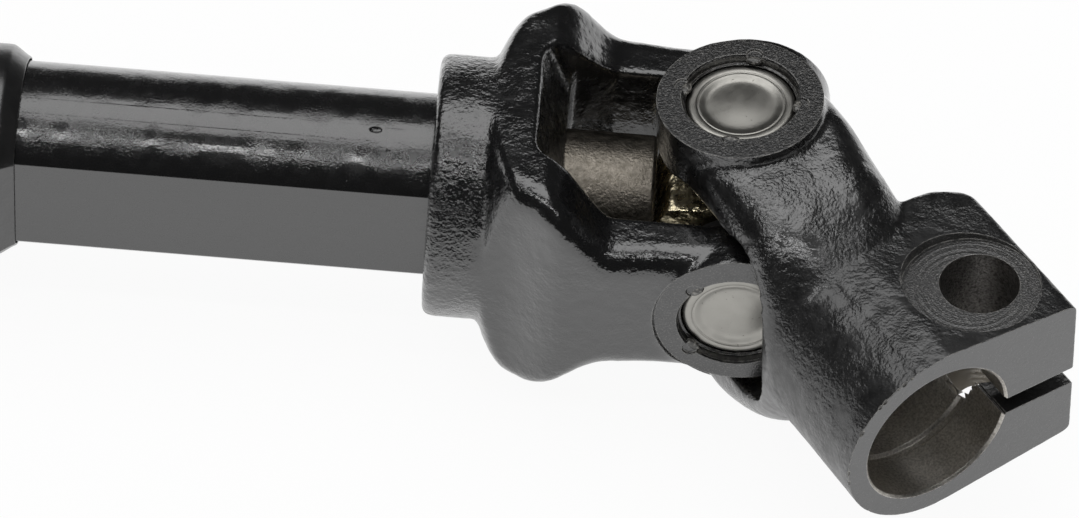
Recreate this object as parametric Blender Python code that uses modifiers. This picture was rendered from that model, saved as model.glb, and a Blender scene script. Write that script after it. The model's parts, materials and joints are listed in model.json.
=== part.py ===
# Telescoping steering shaft: two forged tube yokes, two pinch-bolt clamp yokes, needle-bearing crosses.
# Metres, +Z up. Each joint has its own frame: centre on the cross, X from the tube yoke to the clamp yoke.

from math import asin, cos, pi, radians, sin

import bmesh
import bpy
from mathutils import Vector

PART_NAME = "steering_shaft"

# Clearance left between faces that touch or are pressed together.
SEAT_GAP = 0.0003

# Pose of the two joints at rest, and the distance between their centres.
JOINT_DISTANCE = 0.330
LOWER_PITCH = radians(4.8)
LOWER_BEND = radians(56.0)

# Solid double-D shaft.
SHAFT_RADIUS = 0.0127
SHAFT_FLAT = 0.01017
SHAFT_BARE_LENGTH = 0.0582
SHAFT_OVERLAP = 0.098
STUB_RADIUS = 0.0093
STUB_REACH = 0.0124
STUB_CHAMFER = 0.0006

# Hollow double-D sleeve around it.
SLEEVE_WALL = 0.0018
SLEEVE_LIP = 0.0024
SLEEVE_LIP_EDGE = 0.0004

# Nylon bush on the hidden end of the shaft.
BUSH_LENGTH = 0.030
BUSH_WALL = 0.0010
BUSH_LAND = 0.004

# Cross and its needle bearings.
TRUNNION_RADIUS = 0.0042
TRUNNION_END_GAP = 0.0005
NEEDLE_DIAMETER = 0.0019
NEEDLE_LENGTH = 0.0072
NEEDLE_VALLEY = 0.55
CROSS_SHOULDER_RADIUS = 0.0066
CROSS_SHOULDER = 0.0083
CROSS_CORE = (0.0096, 0.0078, 0.0078)
CROSS_CORE_BEVEL = 0.0028
CUP_RADIUS = 0.0076
CUP_WALL = 0.0009
CUP_LENGTH = 0.0100
CUP_BASE = 0.0017
CUP_RIM_WIDTH = 0.0009
CUP_DISH_RADIUS = 0.0049
CUP_DISH_DEPTH = 0.0007
CUP_CHAMFER = 0.0005
CUP_RECESS = 0.0013
SEAL_RADIUS = 0.0074

# Ears, the same on both yokes.
EAR_RADIUS = 0.0119
EAR_FACE_CHAMFER = 0.0007
EAR_INNER = 0.0141
BORE_CHAMFER = 0.00035
TUBE_EAR_FACE = 0.02183
CLAMP_EAR_FACE = 0.02225

# Tube yoke.
HUB_FACE = 0.0435
HUB_RADIUS = 0.0184
HUB_LENGTH = 0.0078
HUB_EDGE = 0.0012
HUB_EDGE_BREAK = 0.3
HUB_NECK_STEP = 0.0002
SOCKET_DEPTH = 0.0050
BELLY_RISE = 0.0006
BELLY_HALF_WIDTH = 0.0223
BELLY_SQUARING = 0.0047
BELLY_SIDE_START = 0.0022
BELLY_SIDE_RUN = 0.0100
BELLY_TOP_START = 0.0062
BELLY_TOP_RUN = 0.0125
FORK_HALF_HEIGHT = 0.0112
FORK_HALF_WIDTH = 0.0213
FORGED_CORNER = 0.0038
POCKET_FLOOR = 0.0252
POCKET_DRAFT = 0.0043
POCKET_HALF_WIDTH = 0.0114
POCKET_CORNER = 0.0035
FORK_THROAT = 0.0190
FORK_SIDE_RUN = 0.0095

# Clamp yoke.
CLAMP_REACH = 0.0497
CLAMP_BORE = 0.0110
CLAMP_WALL = 0.0033
CLAMP_WAIST = 0.0004
CLAMP_GROOVE_PLACE = 0.0140
CLAMP_GROOVE_WIDTH = 0.0016
CLAMP_GROOVE_DEPTH = 0.0005
CROTCH = 0.0254
CROTCH_CORNER = 0.0090
ARM_HALF_HEIGHT = 0.0206
ARM_HALF_WIDTH = 0.0113
ARM_TAPER_PAST_CROTCH = 0.0046
LOWER_ARM_EXTRA = 0.0009
# How far the arms have run in to the hub: share of the way, then of the width, of the top, of the bottom.
ARM_SHAPE = (
    (0.00, 0.00, 0.00, 0.00),
    (0.30, 0.00, 0.02, 0.00),
    (0.47, 0.03, 0.09, 0.02),
    (0.60, 0.10, 0.22, 0.12),
    (0.73, 0.30, 0.42, 0.33),
    (0.84, 0.58, 0.68, 0.60),
    (0.93, 0.84, 0.90, 0.86),
    (1.00, 1.00, 1.00, 1.00),
)
JAW_REACH = 0.0220
JAW_TIP_HALF = 0.0119
JAW_TIP_CORNER = 0.0012
JAW_LENGTH = 0.0250
JAW_BULGE_ROOT = 0.0033
JAW_BULGE_MIDDLE = 0.0044
JAW_BULGE_OUTER = 0.0038
JAW_BULGE_TIP = 0.0011
# Rows of the jaw block: share of the way to its tip, with the bulge of its rear face there.
JAW_ROWS = ((0.0, JAW_BULGE_ROOT), (0.5, JAW_BULGE_MIDDLE), (0.8, JAW_BULGE_OUTER))
# Rounding of the jaw tip: shares (outward, inward) of its corner.
JAW_TIP_ROUNDING = ((0.0, 0.0), (0.7, 0.3), (1.0, 1.0))
SLIT_WIDTH = 0.0023
SLIT_DROP = 0.0005
BOLT_INSET = 0.0107
BOLT_OFFSET = 0.0135
BOLT_HOLE_RADIUS = 0.00545
BOLT_THREAD_RADIUS = 0.0043
BOLT_SEAT_RADIUS = 0.00955
BOLT_SEAT_HEIGHT = 0.0122
BOLT_SEAT_SHIFT = (-0.0007, -0.0013)

# Weld between the sleeve and the upper tube yoke: its leg, and its outline as shares (along, rise) of it.
WELD_LEG = 0.0024
WELD_OUTLINE = ((1.0, 0.15), (0.6, 0.65), (0.0, 1.0))

# Facets around a turned surface, and along one corner of a forged section.
BORE_FACETS = 28
CUP_FACETS = 20
SEAL_FACETS = 16
CORNER_POINTS = 5
JAW_CORNER_POINTS = 3
DOUBLE_D_POINTS = 11
BELLY_SECTIONS = 10
BELLY_SPACING = 1.25
POCKET_CORNER_STEPS = 4
CROTCH_CORNER_STEPS = 6
LIP_SECTIONS = 4

# Sizes that follow from those above.
CUP_BORE = CUP_RADIUS + SEAT_GAP
CUP_CAVITY = CUP_RADIUS - CUP_WALL
NEEDLE_INNER = TRUNNION_RADIUS + SEAT_GAP
NEEDLE_OUTER = NEEDLE_INNER + NEEDLE_DIAMETER
CLAMP_HUB_RADIUS = CLAMP_BORE + CLAMP_WALL
SLEEVE_BORE_RADIUS = SHAFT_RADIUS + SEAT_GAP
SLEEVE_BORE_FLAT = SHAFT_FLAT + SEAT_GAP
SLEEVE_RADIUS = SLEEVE_BORE_RADIUS + SLEEVE_WALL
SLEEVE_FLAT = SLEEVE_BORE_FLAT + SLEEVE_WALL
BELLY_HALF_HEIGHT = HUB_RADIUS + BELLY_RISE
SLEEVE_MOUTH = -(HUB_FACE + SHAFT_BARE_LENGTH)
SLEEVE_END = -JOINT_DISTANCE + HUB_FACE - SOCKET_DEPTH + SEAT_GAP
SHAFT_END = SLEEVE_MOUTH - SHAFT_OVERLAP
BEYOND = 0.010


# Scene and object helpers.

def clear_scene():
    for old in list(bpy.data.objects):
        bpy.data.objects.remove(old, do_unlink=True)


def new_collection(name):
    group = bpy.data.collections.new(name)
    bpy.context.scene.collection.children.link(group)
    return group


def material(name, colour, roughness, metallic):
    made = bpy.data.materials.new(name)
    made.use_nodes = True
    shader = made.node_tree.nodes["Principled BSDF"]
    shader.inputs["Base Color"].default_value = (*colour, 1.0)
    shader.inputs["Roughness"].default_value = roughness
    shader.inputs["Metallic"].default_value = metallic
    return made


def place(obj, parent, location=(0, 0, 0), rotation=(0, 0, 0)):
    obj.parent = parent
    obj.location = location
    obj.rotation_euler = rotation
    return obj


def pivot(name, parent=None, location=(0, 0, 0), rotation=(0, 0, 0)):
    empty = bpy.data.objects.new(name, None)
    parts.objects.link(empty)
    return place(empty, parent, location, rotation)


def object_from(name, mesh, finish=None):
    """A part when it has a finish, otherwise a hidden tool body."""
    obj = bpy.data.objects.new(name, mesh)
    if finish:
        parts.objects.link(obj)
        mesh.materials.append(finish)
        mesh.shade_smooth()
        mesh.set_sharp_from_angle(angle=radians(32))
    else:
        cutters.objects.link(obj)
        obj.hide_render = True
        obj.display_type = 'WIRE'
    return obj


def mesh_from(name, bm):
    """The mesh of a closed body, with its faces pointing outwards."""
    bmesh.ops.recalc_face_normals(bm, faces=bm.faces)
    if bm.calc_volume(signed=True) < 0:
        bmesh.ops.reverse_faces(bm, faces=bm.faces)
    mesh = bpy.data.meshes.new(name)
    bm.to_mesh(mesh)
    bm.free()
    return mesh


def combine(target, tool, operation):
    step = target.modifiers.new(tool.name, 'BOOLEAN')
    step.operation = operation
    step.object = tool


# Shapes.

def cylinder(name, radius, low, high, axis='Z', facets=BORE_FACETS, finish=None):
    """A round bar from low to high along one axis."""
    bm = bmesh.new()
    depth = high - low
    bmesh.ops.create_cone(bm, cap_ends=True, segments=facets, radius1=radius, radius2=radius, depth=depth)
    bmesh.ops.translate(bm, verts=bm.verts, vec=(0, 0, (low + high) / 2))
    turn_to(bm, axis)
    return object_from(name, mesh_from(name, bm), finish)


def turn_to(bm, axis):
    """Turn a shape made along Z so that it lies along X or Y."""
    if axis == 'X':
        for vert in bm.verts:
            vert.co = Vector((vert.co.z, vert.co.y, -vert.co.x))
    if axis == 'Y':
        for vert in bm.verts:
            vert.co = Vector((vert.co.x, vert.co.z, -vert.co.y))


def box(name, low, high):
    bm = bmesh.new()
    bmesh.ops.create_cube(bm, size=1.0)
    middle = [(a + b) / 2 for a, b in zip(low, high)]
    size = [b - a for a, b in zip(low, high)]
    bmesh.ops.scale(bm, verts=bm.verts, vec=size)
    bmesh.ops.translate(bm, verts=bm.verts, vec=middle)
    return object_from(name, mesh_from(name, bm))


def turned(name, profile, facets, closed=False, finish=None):
    """A profile of (radius, height) points turned about Z; its outer side runs from top to bottom."""
    mesh = bpy.data.meshes.new(name)
    links = [(i, i + 1) for i in range(len(profile) - 1)]
    if closed:
        links.append((len(profile) - 1, 0))
    mesh.from_pydata([(radius, 0, height) for radius, height in profile], links, [])
    obj = object_from(name, mesh, finish)
    screw = obj.modifiers.new("turn", 'SCREW')
    screw.axis = 'Z'
    screw.steps = facets
    screw.render_steps = facets
    screw.use_merge_vertices = True
    screw.merge_threshold = 0.00001
    return obj


def loft(name, sections, finish=None):
    """A closed body through rings of points, each ring with the same count."""
    bm = bmesh.new()
    rings = [[bm.verts.new(point) for point in section] for section in sections]
    for ring, following in zip(rings, rings[1:]):
        for i in range(len(ring)):
            j = (i + 1) % len(ring)
            bm.faces.new((ring[i], ring[j], following[j], following[i]))
    bm.faces.new(rings[0])
    bm.faces.new(rings[-1])
    return object_from(name, mesh_from(name, bm), finish)


def rounded_rectangle(half_a, half_b, corner, points=CORNER_POINTS):
    """Points of a rectangle with round corners; it is a circle when all three sizes are the same."""
    outline = []
    for quarter in range(4):
        sign_a = 1 if quarter in (0, 3) else -1
        sign_b = 1 if quarter in (0, 1) else -1
        for step in range(points):
            angle = (quarter + (step + 0.5) / points) * pi / 2
            a = sign_a * (half_a - corner) + corner * cos(angle)
            b = sign_b * (half_b - corner) + corner * sin(angle)
            outline.append((a, b))
    return outline


def double_d(radius, flat, points=DOUBLE_D_POINTS):
    """Points (y, z) of a circle whose sides at plus and minus flat are cut straight."""
    span = asin(flat / radius)
    outline = []
    for side in (1, -1):
        for step in range(points):
            angle = span - 2 * span * step / (points - 1)
            outline.append((side * radius * sin(angle), side * radius * cos(angle)))
    return outline


def along_x(x, outline):
    return [(x, a, b) for a, b in outline]


def along_y(y, outline, centre=0.0):
    return [(centre + a, y, b) for a, b in outline]


def double_d_bar(name, stations, finish=None):
    """A double-D bar through stations of (x, radius, flat)."""
    return loft(name, [along_x(x, double_d(radius, flat)) for x, radius, flat in stations], finish)


# Ears: the round forged ear, its machined face and its bore, made about Z.

def ear_pair(name, face, axis):
    """Two ears in one bar across the joint; the gap between them is cut later."""
    bm = bmesh.new()
    bmesh.ops.create_cone(
        bm, cap_ends=True, segments=BORE_FACETS, radius1=EAR_RADIUS, radius2=EAR_RADIUS, depth=2 * face
    )
    rims = [edge for edge in bm.edges if abs(edge.verts[0].co.z - edge.verts[1].co.z) < face]
    bmesh.ops.bevel(
        bm, geom=rims, offset=EAR_FACE_CHAMFER, segments=1, affect='EDGES', profile=0.5, material=-1
    )
    turn_to(bm, axis)
    return object_from(name, mesh_from(name, bm))


def cup_bores(name, face, axis):
    """The bore through both ears, with its chamfer at each machined face."""
    half = [
        (0, face + BEYOND),
        (CUP_BORE + BORE_CHAMFER + BEYOND, face + BEYOND),
        (CUP_BORE, face - BORE_CHAMFER),
    ]
    profile = half + [(radius, -height) for radius, height in reversed(half)]
    tool = turned(name, profile, CUP_FACETS)
    tool.rotation_euler = {'Y': (pi / 2, 0, 0), 'Z': (0, 0, 0)}[axis]
    return tool


# Tube yoke.

def ease(value, start, run):
    """A smooth step from 0 to 1 as value goes from start to start + run."""
    share = min(1.0, max(0.0, (value - start) / run))
    return share * share * (3 - 2 * share)


def belly_section(x):
    """Half width, half height and corner of the forging at a distance x from the joint centre."""
    neck = HUB_FACE - HUB_LENGTH
    hub = HUB_RADIUS - HUB_NECK_STEP
    behind = neck - x
    half_width = hub + (BELLY_HALF_WIDTH - hub) * ease(behind, BELLY_SIDE_START, BELLY_SIDE_RUN)
    half_width -= (BELLY_HALF_WIDTH - FORK_HALF_WIDTH) * ease(-x, -FORK_THROAT, FORK_SIDE_RUN)
    half_height = hub + (BELLY_HALF_HEIGHT - hub) * ease(behind, 0, BELLY_TOP_START)
    half_height -= (BELLY_HALF_HEIGHT - FORK_HALF_HEIGHT) * ease(behind, BELLY_TOP_START, BELLY_TOP_RUN)
    squareness = 1 - min(1.0, behind / BELLY_SQUARING)
    corner = FORGED_CORNER + (hub - FORGED_CORNER) * squareness ** 2
    return half_width, half_height, corner


def tube_yoke_sections():
    """Rings from the round hub, through the square belly, to the fork arms."""
    stations = [
        (HUB_FACE, HUB_EDGE),
        (HUB_FACE - HUB_EDGE_BREAK * HUB_EDGE, HUB_EDGE_BREAK * HUB_EDGE),
        (HUB_FACE - HUB_EDGE, 0),
    ]
    rings = []
    for x, drop in stations:
        radius = HUB_RADIUS - drop
        rings.append(along_x(-x, rounded_rectangle(radius, radius, radius)))
    neck = HUB_FACE - HUB_LENGTH
    fork = FORK_THROAT / 2
    for step in range(BELLY_SECTIONS + 1):
        x = neck + (fork - neck) * (step / BELLY_SECTIONS) ** BELLY_SPACING
        half_width, half_height, corner = belly_section(x)
        outline = rounded_rectangle(half_width, half_height, min(corner, half_width, half_height))
        rings.append(along_x(-x, outline))
    rings.append(along_x(0, rounded_rectangle(FORK_HALF_WIDTH, FORK_HALF_HEIGHT, FORGED_CORNER)))
    return rings


def pocket_outline(z, reach):
    """The gap between the arms at one height: straight by the ears, narrower towards its floor."""
    slope = max(0.0, abs(z) - STUB_RADIUS) / (BELLY_HALF_HEIGHT - STUB_RADIUS)
    floor = -POCKET_FLOOR - POCKET_DRAFT * slope
    half = [(reach, EAR_INNER), (-FORK_THROAT, EAR_INNER)]
    for step in range(POCKET_CORNER_STEPS + 1):
        angle = step / POCKET_CORNER_STEPS * pi / 2
        x = floor + POCKET_CORNER * (1 - sin(angle))
        y = POCKET_HALF_WIDTH - POCKET_CORNER * (1 - cos(angle))
        half.append((x, y))
    return [(x, y, z) for x, y in half] + [(x, -y, z) for x, y in reversed(half)]


def tube_yoke(name, parent, socket, bore_radius, finish):
    """A forged yoke whose hub takes a double-D bar; socket gives that bar's radius and flat."""
    yoke = loft(name, tube_yoke_sections(), finish)
    place(yoke, parent)
    ears = ear_pair(name + "_ears", TUBE_EAR_FACE, 'Y')
    top = BELLY_HALF_HEIGHT + BEYOND
    heights = [-top, -BELLY_HALF_HEIGHT, -STUB_RADIUS, STUB_RADIUS, BELLY_HALF_HEIGHT, top]
    pocket = loft(name + "_pocket", [pocket_outline(z, EAR_RADIUS + BEYOND) for z in heights])
    bores = cup_bores(name + "_cup_bores", TUBE_EAR_FACE, 'Y')
    radius, flat = socket
    ends = (-HUB_FACE - BEYOND, -HUB_FACE + SOCKET_DEPTH)
    seat = double_d_bar(name + "_socket", [(x, radius, flat) for x in ends])
    bore = cylinder(name + "_bore", bore_radius, -HUB_FACE - BEYOND, -POCKET_FLOOR + BEYOND, 'X')
    combine(yoke, ears, 'UNION')
    for tool in (pocket, bores, seat, bore):
        combine(yoke, tool, 'DIFFERENCE')
    for tool in (ears, pocket, bores, seat, bore):
        tool.parent = parent
    return yoke


# Clamp yoke: X along the clamp bore, Y towards the jaws, Z along the cups.

def clamp_sections():
    """Rings from the ears, along the converging arms, to the round hub; the lower arm is the fuller one."""
    taper = CROTCH + ARM_TAPER_PAST_CROTCH
    waist = CLAMP_HUB_RADIUS - CLAMP_WAIST
    lower_arm = ARM_HALF_HEIGHT + LOWER_ARM_EXTRA
    rings = []
    for share, wide, top, bottom in ARM_SHAPE:
        half_width = ARM_HALF_WIDTH + (waist - ARM_HALF_WIDTH) * wide
        above = ARM_HALF_HEIGHT + (CLAMP_HUB_RADIUS - ARM_HALF_HEIGHT) * top
        below = lower_arm + (CLAMP_HUB_RADIUS - lower_arm) * bottom
        corner = FORGED_CORNER + (CLAMP_HUB_RADIUS - FORGED_CORNER) * top ** 2
        outline = rounded_rectangle(half_width, (above + below) / 2, min(corner, half_width))
        rings.append(along_x(taper * share, [(a, b + (above - below) / 2) for a, b in outline]))
    waist_ring = rounded_rectangle(waist, CLAMP_HUB_RADIUS, waist)
    rings.append(along_x((taper + CLAMP_REACH) / 2, waist_ring))
    round_hub = rounded_rectangle(CLAMP_HUB_RADIUS, CLAMP_HUB_RADIUS, CLAMP_HUB_RADIUS)
    for x in (CLAMP_REACH, CLAMP_REACH + BEYOND):
        rings.append(along_x(x, round_hub))
    return rings


def jaw_sections():
    """Rings across the jaw block, from inside the hub to the jaw tips; facing cuts its front end."""
    front = CLAMP_REACH + BEYOND
    rear = CLAMP_REACH - JAW_LENGTH
    lean = (CLAMP_HUB_RADIUS - JAW_TIP_HALF) / JAW_REACH
    root = CLAMP_HUB_RADIUS * cos(lean)
    first = CLAMP_HUB_RADIUS * sin(lean)
    last = JAW_REACH - JAW_TIP_CORNER
    rows = [(-CLAMP_WALL, rear - JAW_BULGE_ROOT, root - 2 * SEAT_GAP)]
    for share, bulge in JAW_ROWS:
        rows.append((first + (last - first) * share, rear - bulge, root + (JAW_TIP_HALF - root) * share))
    for outward, inward in JAW_TIP_ROUNDING:
        drop = inward * JAW_TIP_CORNER
        rows.append((last + outward * JAW_TIP_CORNER, rear - JAW_BULGE_TIP + drop, JAW_TIP_HALF - drop))
    rings = []
    for y, back, half_height in rows:
        half_length = (front - back) / 2
        outline = rounded_rectangle(half_length, half_height, JAW_TIP_CORNER, JAW_CORNER_POINTS)
        rings.append(along_y(y, outline, (front + back) / 2))
    return rings


def crotch_outline(y):
    """The U between the clamp arms, seen along Y; it leaves room for the other yoke's ears to swing."""
    half = [(-EAR_RADIUS - BEYOND, EAR_INNER)]
    for step in range(CROTCH_CORNER_STEPS + 1):
        angle = step / CROTCH_CORNER_STEPS * pi / 2
        x = CROTCH - CROTCH_CORNER * (1 - sin(angle))
        z = EAR_INNER - CROTCH_CORNER * (1 - cos(angle))
        half.append((x, z))
    return [(x, y, z) for x, z in half] + [(x, y, -z) for x, z in reversed(half)]


def clamp_bore_profile():
    """Bore outline from the clamp's end face inwards, as (radius, distance along the bore)."""
    groove_front = CLAMP_REACH - CLAMP_GROOVE_PLACE
    groove_rear = groove_front - CLAMP_GROOVE_WIDTH
    deep = CLAMP_BORE + CLAMP_GROOVE_DEPTH
    return [
        (0, CLAMP_REACH + BEYOND),
        (CLAMP_BORE + BORE_CHAMFER + BEYOND, CLAMP_REACH + BEYOND),
        (CLAMP_BORE, CLAMP_REACH - BORE_CHAMFER),
        (CLAMP_BORE, groove_front),
        (deep, groove_front - CLAMP_GROOVE_DEPTH),
        (deep, groove_rear + CLAMP_GROOVE_DEPTH),
        (CLAMP_BORE, groove_rear),
        (CLAMP_BORE, CROTCH - BEYOND),
        (0, CROTCH - BEYOND),
    ]


def clamp_yoke(name, parent, finish):
    """A forged yoke with a split clamp for a plain shaft, pinched by one bolt."""
    yoke = loft(name, clamp_sections(), finish)
    place(yoke, parent)
    ears = ear_pair(name + "_ears", CLAMP_EAR_FACE, 'Z')
    jaws = loft(name + "_jaws", jaw_sections())
    wide = JAW_REACH + BEYOND
    crotch = loft(name + "_crotch", [crotch_outline(-wide), crotch_outline(wide)])
    facing = box(name + "_facing", (CLAMP_REACH, -wide, -wide), (CLAMP_REACH + 3 * BEYOND, wide, wide))
    bores = cup_bores(name + "_cup_bores", CLAMP_EAR_FACE, 'Z')
    bore = turned(name + "_bore", clamp_bore_profile(), BORE_FACETS)
    bore.rotation_euler = (0, pi / 2, 0)
    slit_low = -SLIT_DROP - SLIT_WIDTH / 2
    slit = box(
        name + "_slit", (CROTCH - BEYOND, 0, slit_low), (CLAMP_REACH + BEYOND, wide, slit_low + SLIT_WIDTH)
    )
    bolt_x = CLAMP_REACH - BOLT_INSET
    clearance = cylinder(name + "_bolt_hole", BOLT_HOLE_RADIUS, -SLIT_DROP, wide, 'Z')
    clearance.location = (bolt_x, BOLT_OFFSET, 0)
    thread = cylinder(name + "_bolt_thread", BOLT_THREAD_RADIUS, -wide, 0, 'Z')
    thread.location = (bolt_x, BOLT_OFFSET, 0)
    seat = cylinder(name + "_bolt_seat", BOLT_SEAT_RADIUS, BOLT_SEAT_HEIGHT, wide, 'Z')
    seat.location = (bolt_x + BOLT_SEAT_SHIFT[0], BOLT_OFFSET + BOLT_SEAT_SHIFT[1], 0)
    for tool in (ears, jaws):
        combine(yoke, tool, 'UNION')
    for tool in (crotch, facing, bores, bore, slit, clearance, thread, seat):
        combine(yoke, tool, 'DIFFERENCE')
    for tool in (ears, jaws, crotch, facing, bores, bore, slit, clearance, thread, seat):
        tool.parent = parent
    return yoke


# Cross and bearings.

def cross(name, parent, finish):
    """The forged cross: four trunnions on shoulders, round a blunt core."""
    bm = bmesh.new()
    bmesh.ops.create_cube(bm, size=2.0)
    bmesh.ops.scale(bm, verts=bm.verts, vec=CROSS_CORE)
    bmesh.ops.bevel(
        bm, geom=bm.edges[:], offset=CROSS_CORE_BEVEL, segments=2, affect='EDGES', profile=0.5, material=-1
    )
    body = object_from(name, mesh_from(name, bm), finish)
    place(body, parent)
    for axis, face in (('Y', TUBE_EAR_FACE), ('Z', CLAMP_EAR_FACE)):
        trunnion_end = face - CUP_RECESS - CUP_BASE - TRUNNION_END_GAP
        steps = (
            ("_shoulders_", CROSS_SHOULDER_RADIUS, CROSS_SHOULDER),
            ("_trunnions_", TRUNNION_RADIUS, trunnion_end),
        )
        for label, radius, end in steps:
            tool = cylinder(name + label + axis, radius, -end, end, axis, SEAL_FACETS)
            combine(body, tool, 'UNION')
            tool.parent = parent
    return body


def cup_profile(face):
    """Half section of a cup whose rim lies below the ear's machined face."""
    rim = face - CUP_RECESS
    inner = rim - CUP_LENGTH
    rim_radius = CUP_RADIUS - CUP_CHAMFER
    return [
        (0, rim - CUP_DISH_DEPTH),
        (CUP_DISH_RADIUS, rim - CUP_DISH_DEPTH),
        (rim_radius - CUP_RIM_WIDTH, rim),
        (rim_radius, rim),
        (CUP_RADIUS, rim - CUP_CHAMFER),
        (CUP_RADIUS, inner),
        (CUP_CAVITY, inner),
        (CUP_CAVITY, rim - CUP_BASE),
        (0, rim - CUP_BASE),
    ]


def seal_profile(face):
    """A lip seal between the open end of the cup and the shoulder of the cross."""
    outer = face - CUP_RECESS - CUP_LENGTH - SEAT_GAP
    inner = CROSS_SHOULDER + SEAT_GAP
    return [(SEAL_RADIUS, outer), (SEAL_RADIUS, inner), (NEEDLE_INNER, inner), (NEEDLE_INNER, outer)]


def needle_ring(name, face, finish):
    """The needles of one cup, side by side round the trunnion and touching their neighbours."""
    top = face - CUP_RECESS - CUP_BASE - SEAT_GAP
    middle = (NEEDLE_INNER + NEEDLE_OUTER) / 2
    count = int(2 * pi * middle / NEEDLE_DIAMETER)
    swell = NEEDLE_DIAMETER / 2
    waist = NEEDLE_VALLEY * swell
    outline = []
    for sign in (1, -1):
        circle = []
        for i in range(2 * count):
            radius = middle + sign * (swell if i % 2 == 0 else waist)
            angle = i * pi / count
            circle.append((radius * cos(angle), radius * sin(angle)))
        outline.append(circle)
    bm = bmesh.new()
    rings = []
    low = top - NEEDLE_LENGTH
    for circle, height in ((outline[0], top), (outline[0], low), (outline[1], low), (outline[1], top)):
        rings.append([bm.verts.new((x, y, height)) for x, y in circle])
    for ring, following in zip(rings, rings[1:] + rings[:1]):
        for i in range(len(ring)):
            j = (i + 1) % len(ring)
            bm.faces.new((ring[i], ring[j], following[j], following[i]))
    return object_from(name, mesh_from(name, bm), finish)


def bearing(prefix, side, face, parent, rotation):
    """Cup, needles and seal on one trunnion; they stay with the ear that holds the cup."""
    cup = turned(prefix + "_cup_" + side, cup_profile(face), CUP_FACETS, finish=finishes["cup"])
    lip = seal_profile(face)
    seal = turned(prefix + "_seal_" + side, lip, SEAL_FACETS, closed=True, finish=finishes["seal"])
    needles = needle_ring(prefix + "_needles_" + side, face, finishes["needle"])
    for piece in (cup, seal, needles):
        place(piece, parent, rotation=rotation)


def joint(prefix, location, heading, pitch, bend, socket, bore_radius):
    """One universal joint, with its clamp yoke pitched about Y and then bent about its own Z."""
    centre = pivot(prefix + "_joint_centre", assembly, location, (0, 0, heading))
    cross_pivot = pivot(prefix + "_cross_pivot", centre, rotation=(0, -pitch, 0))
    clamp_pivot = pivot(prefix + "_clamp_pivot", cross_pivot, rotation=(0, 0, -bend))
    tube_yoke(prefix + "_tube_yoke", centre, socket, bore_radius, finishes["forging"])
    clamp_yoke(prefix + "_clamp_yoke", clamp_pivot, finishes["forging"])
    cross(prefix + "_cross", cross_pivot, finishes["cross"])
    bearing(prefix, "front", TUBE_EAR_FACE, centre, (pi / 2, 0, 0))
    bearing(prefix, "back", TUBE_EAR_FACE, centre, (-pi / 2, 0, 0))
    bearing(prefix, "top", CLAMP_EAR_FACE, clamp_pivot, (0, 0, 0))
    bearing(prefix, "bottom", CLAMP_EAR_FACE, clamp_pivot, (pi, 0, 0))
    return centre


# Shaft and sleeve, in the frame of the lower joint.

def inner_shaft(parent):
    """The solid double-D bar: necked for its bush at one end, turned down to the stub at the other."""
    shoulder = -HUB_FACE + SOCKET_DEPTH - SEAT_GAP
    bush_start = SHAFT_END + BUSH_LAND
    neck_radius = SHAFT_RADIUS - BUSH_WALL - SEAT_GAP
    neck_flat = SHAFT_FLAT - BUSH_WALL - SEAT_GAP
    stations = [
        (SHAFT_END, neck_radius, neck_flat),
        (bush_start + BUSH_LENGTH, neck_radius, neck_flat),
        (bush_start + BUSH_LENGTH + SEAT_GAP, SHAFT_RADIUS, SHAFT_FLAT),
        (shoulder, SHAFT_RADIUS, SHAFT_FLAT),
    ]
    shaft = double_d_bar("inner_shaft", stations, finishes["shaft"])
    stub = turned(
        "inner_shaft_stub",
        [
            (0, -STUB_REACH),
            (STUB_RADIUS - STUB_CHAMFER, -STUB_REACH),
            (STUB_RADIUS, -STUB_REACH - STUB_CHAMFER),
            (STUB_RADIUS, shoulder - SOCKET_DEPTH),
            (0, shoulder - SOCKET_DEPTH),
        ],
        BORE_FACETS,
    )
    place(shaft, parent)
    place(stub, parent, rotation=(0, pi / 2, 0))
    combine(shaft, stub, 'UNION')
    return shaft


def slide_bush(parent):
    """The nylon sleeve that fills the space between the necked shaft and the hollow sleeve."""
    start = SHAFT_END + BUSH_LAND
    end = start + BUSH_LENGTH - SEAT_GAP
    inner_radius = SHAFT_RADIUS - BUSH_WALL
    inner_flat = SHAFT_FLAT - BUSH_WALL
    stations = [(x, SHAFT_RADIUS, SHAFT_FLAT) for x in (start, end)]
    bush = double_d_bar("slide_bush", stations, finishes["bush"])
    ends = (start - BEYOND, end + BEYOND)
    hollow = double_d_bar("slide_bush_hollow", [(x, inner_radius, inner_flat) for x in ends])
    place(bush, parent)
    place(hollow, parent)
    combine(bush, hollow, 'DIFFERENCE')


def sleeve(parent):
    """The hollow double-D sleeve, with its mouth swaged round and down towards the shaft."""
    stations = [(SLEEVE_END, SLEEVE_RADIUS, SLEEVE_FLAT)]
    for step in range(LIP_SECTIONS + 1):
        angle = step / LIP_SECTIONS * pi / 2
        drop = (SLEEVE_WALL - SLEEVE_LIP_EDGE) * (1 - cos(angle))
        x = SLEEVE_MOUTH - SLEEVE_LIP * (1 - sin(angle))
        stations.append((x, SLEEVE_RADIUS - drop, SLEEVE_FLAT - drop))
    tube = double_d_bar("sleeve", stations, finishes["shaft"])
    ends = (SLEEVE_END - BEYOND, SLEEVE_MOUTH + BEYOND)
    hollow = double_d_bar("sleeve_hollow", [(x, SLEEVE_BORE_RADIUS, SLEEVE_BORE_FLAT) for x in ends])
    place(tube, parent)
    place(hollow, parent)
    combine(tube, hollow, 'DIFFERENCE')


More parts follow.
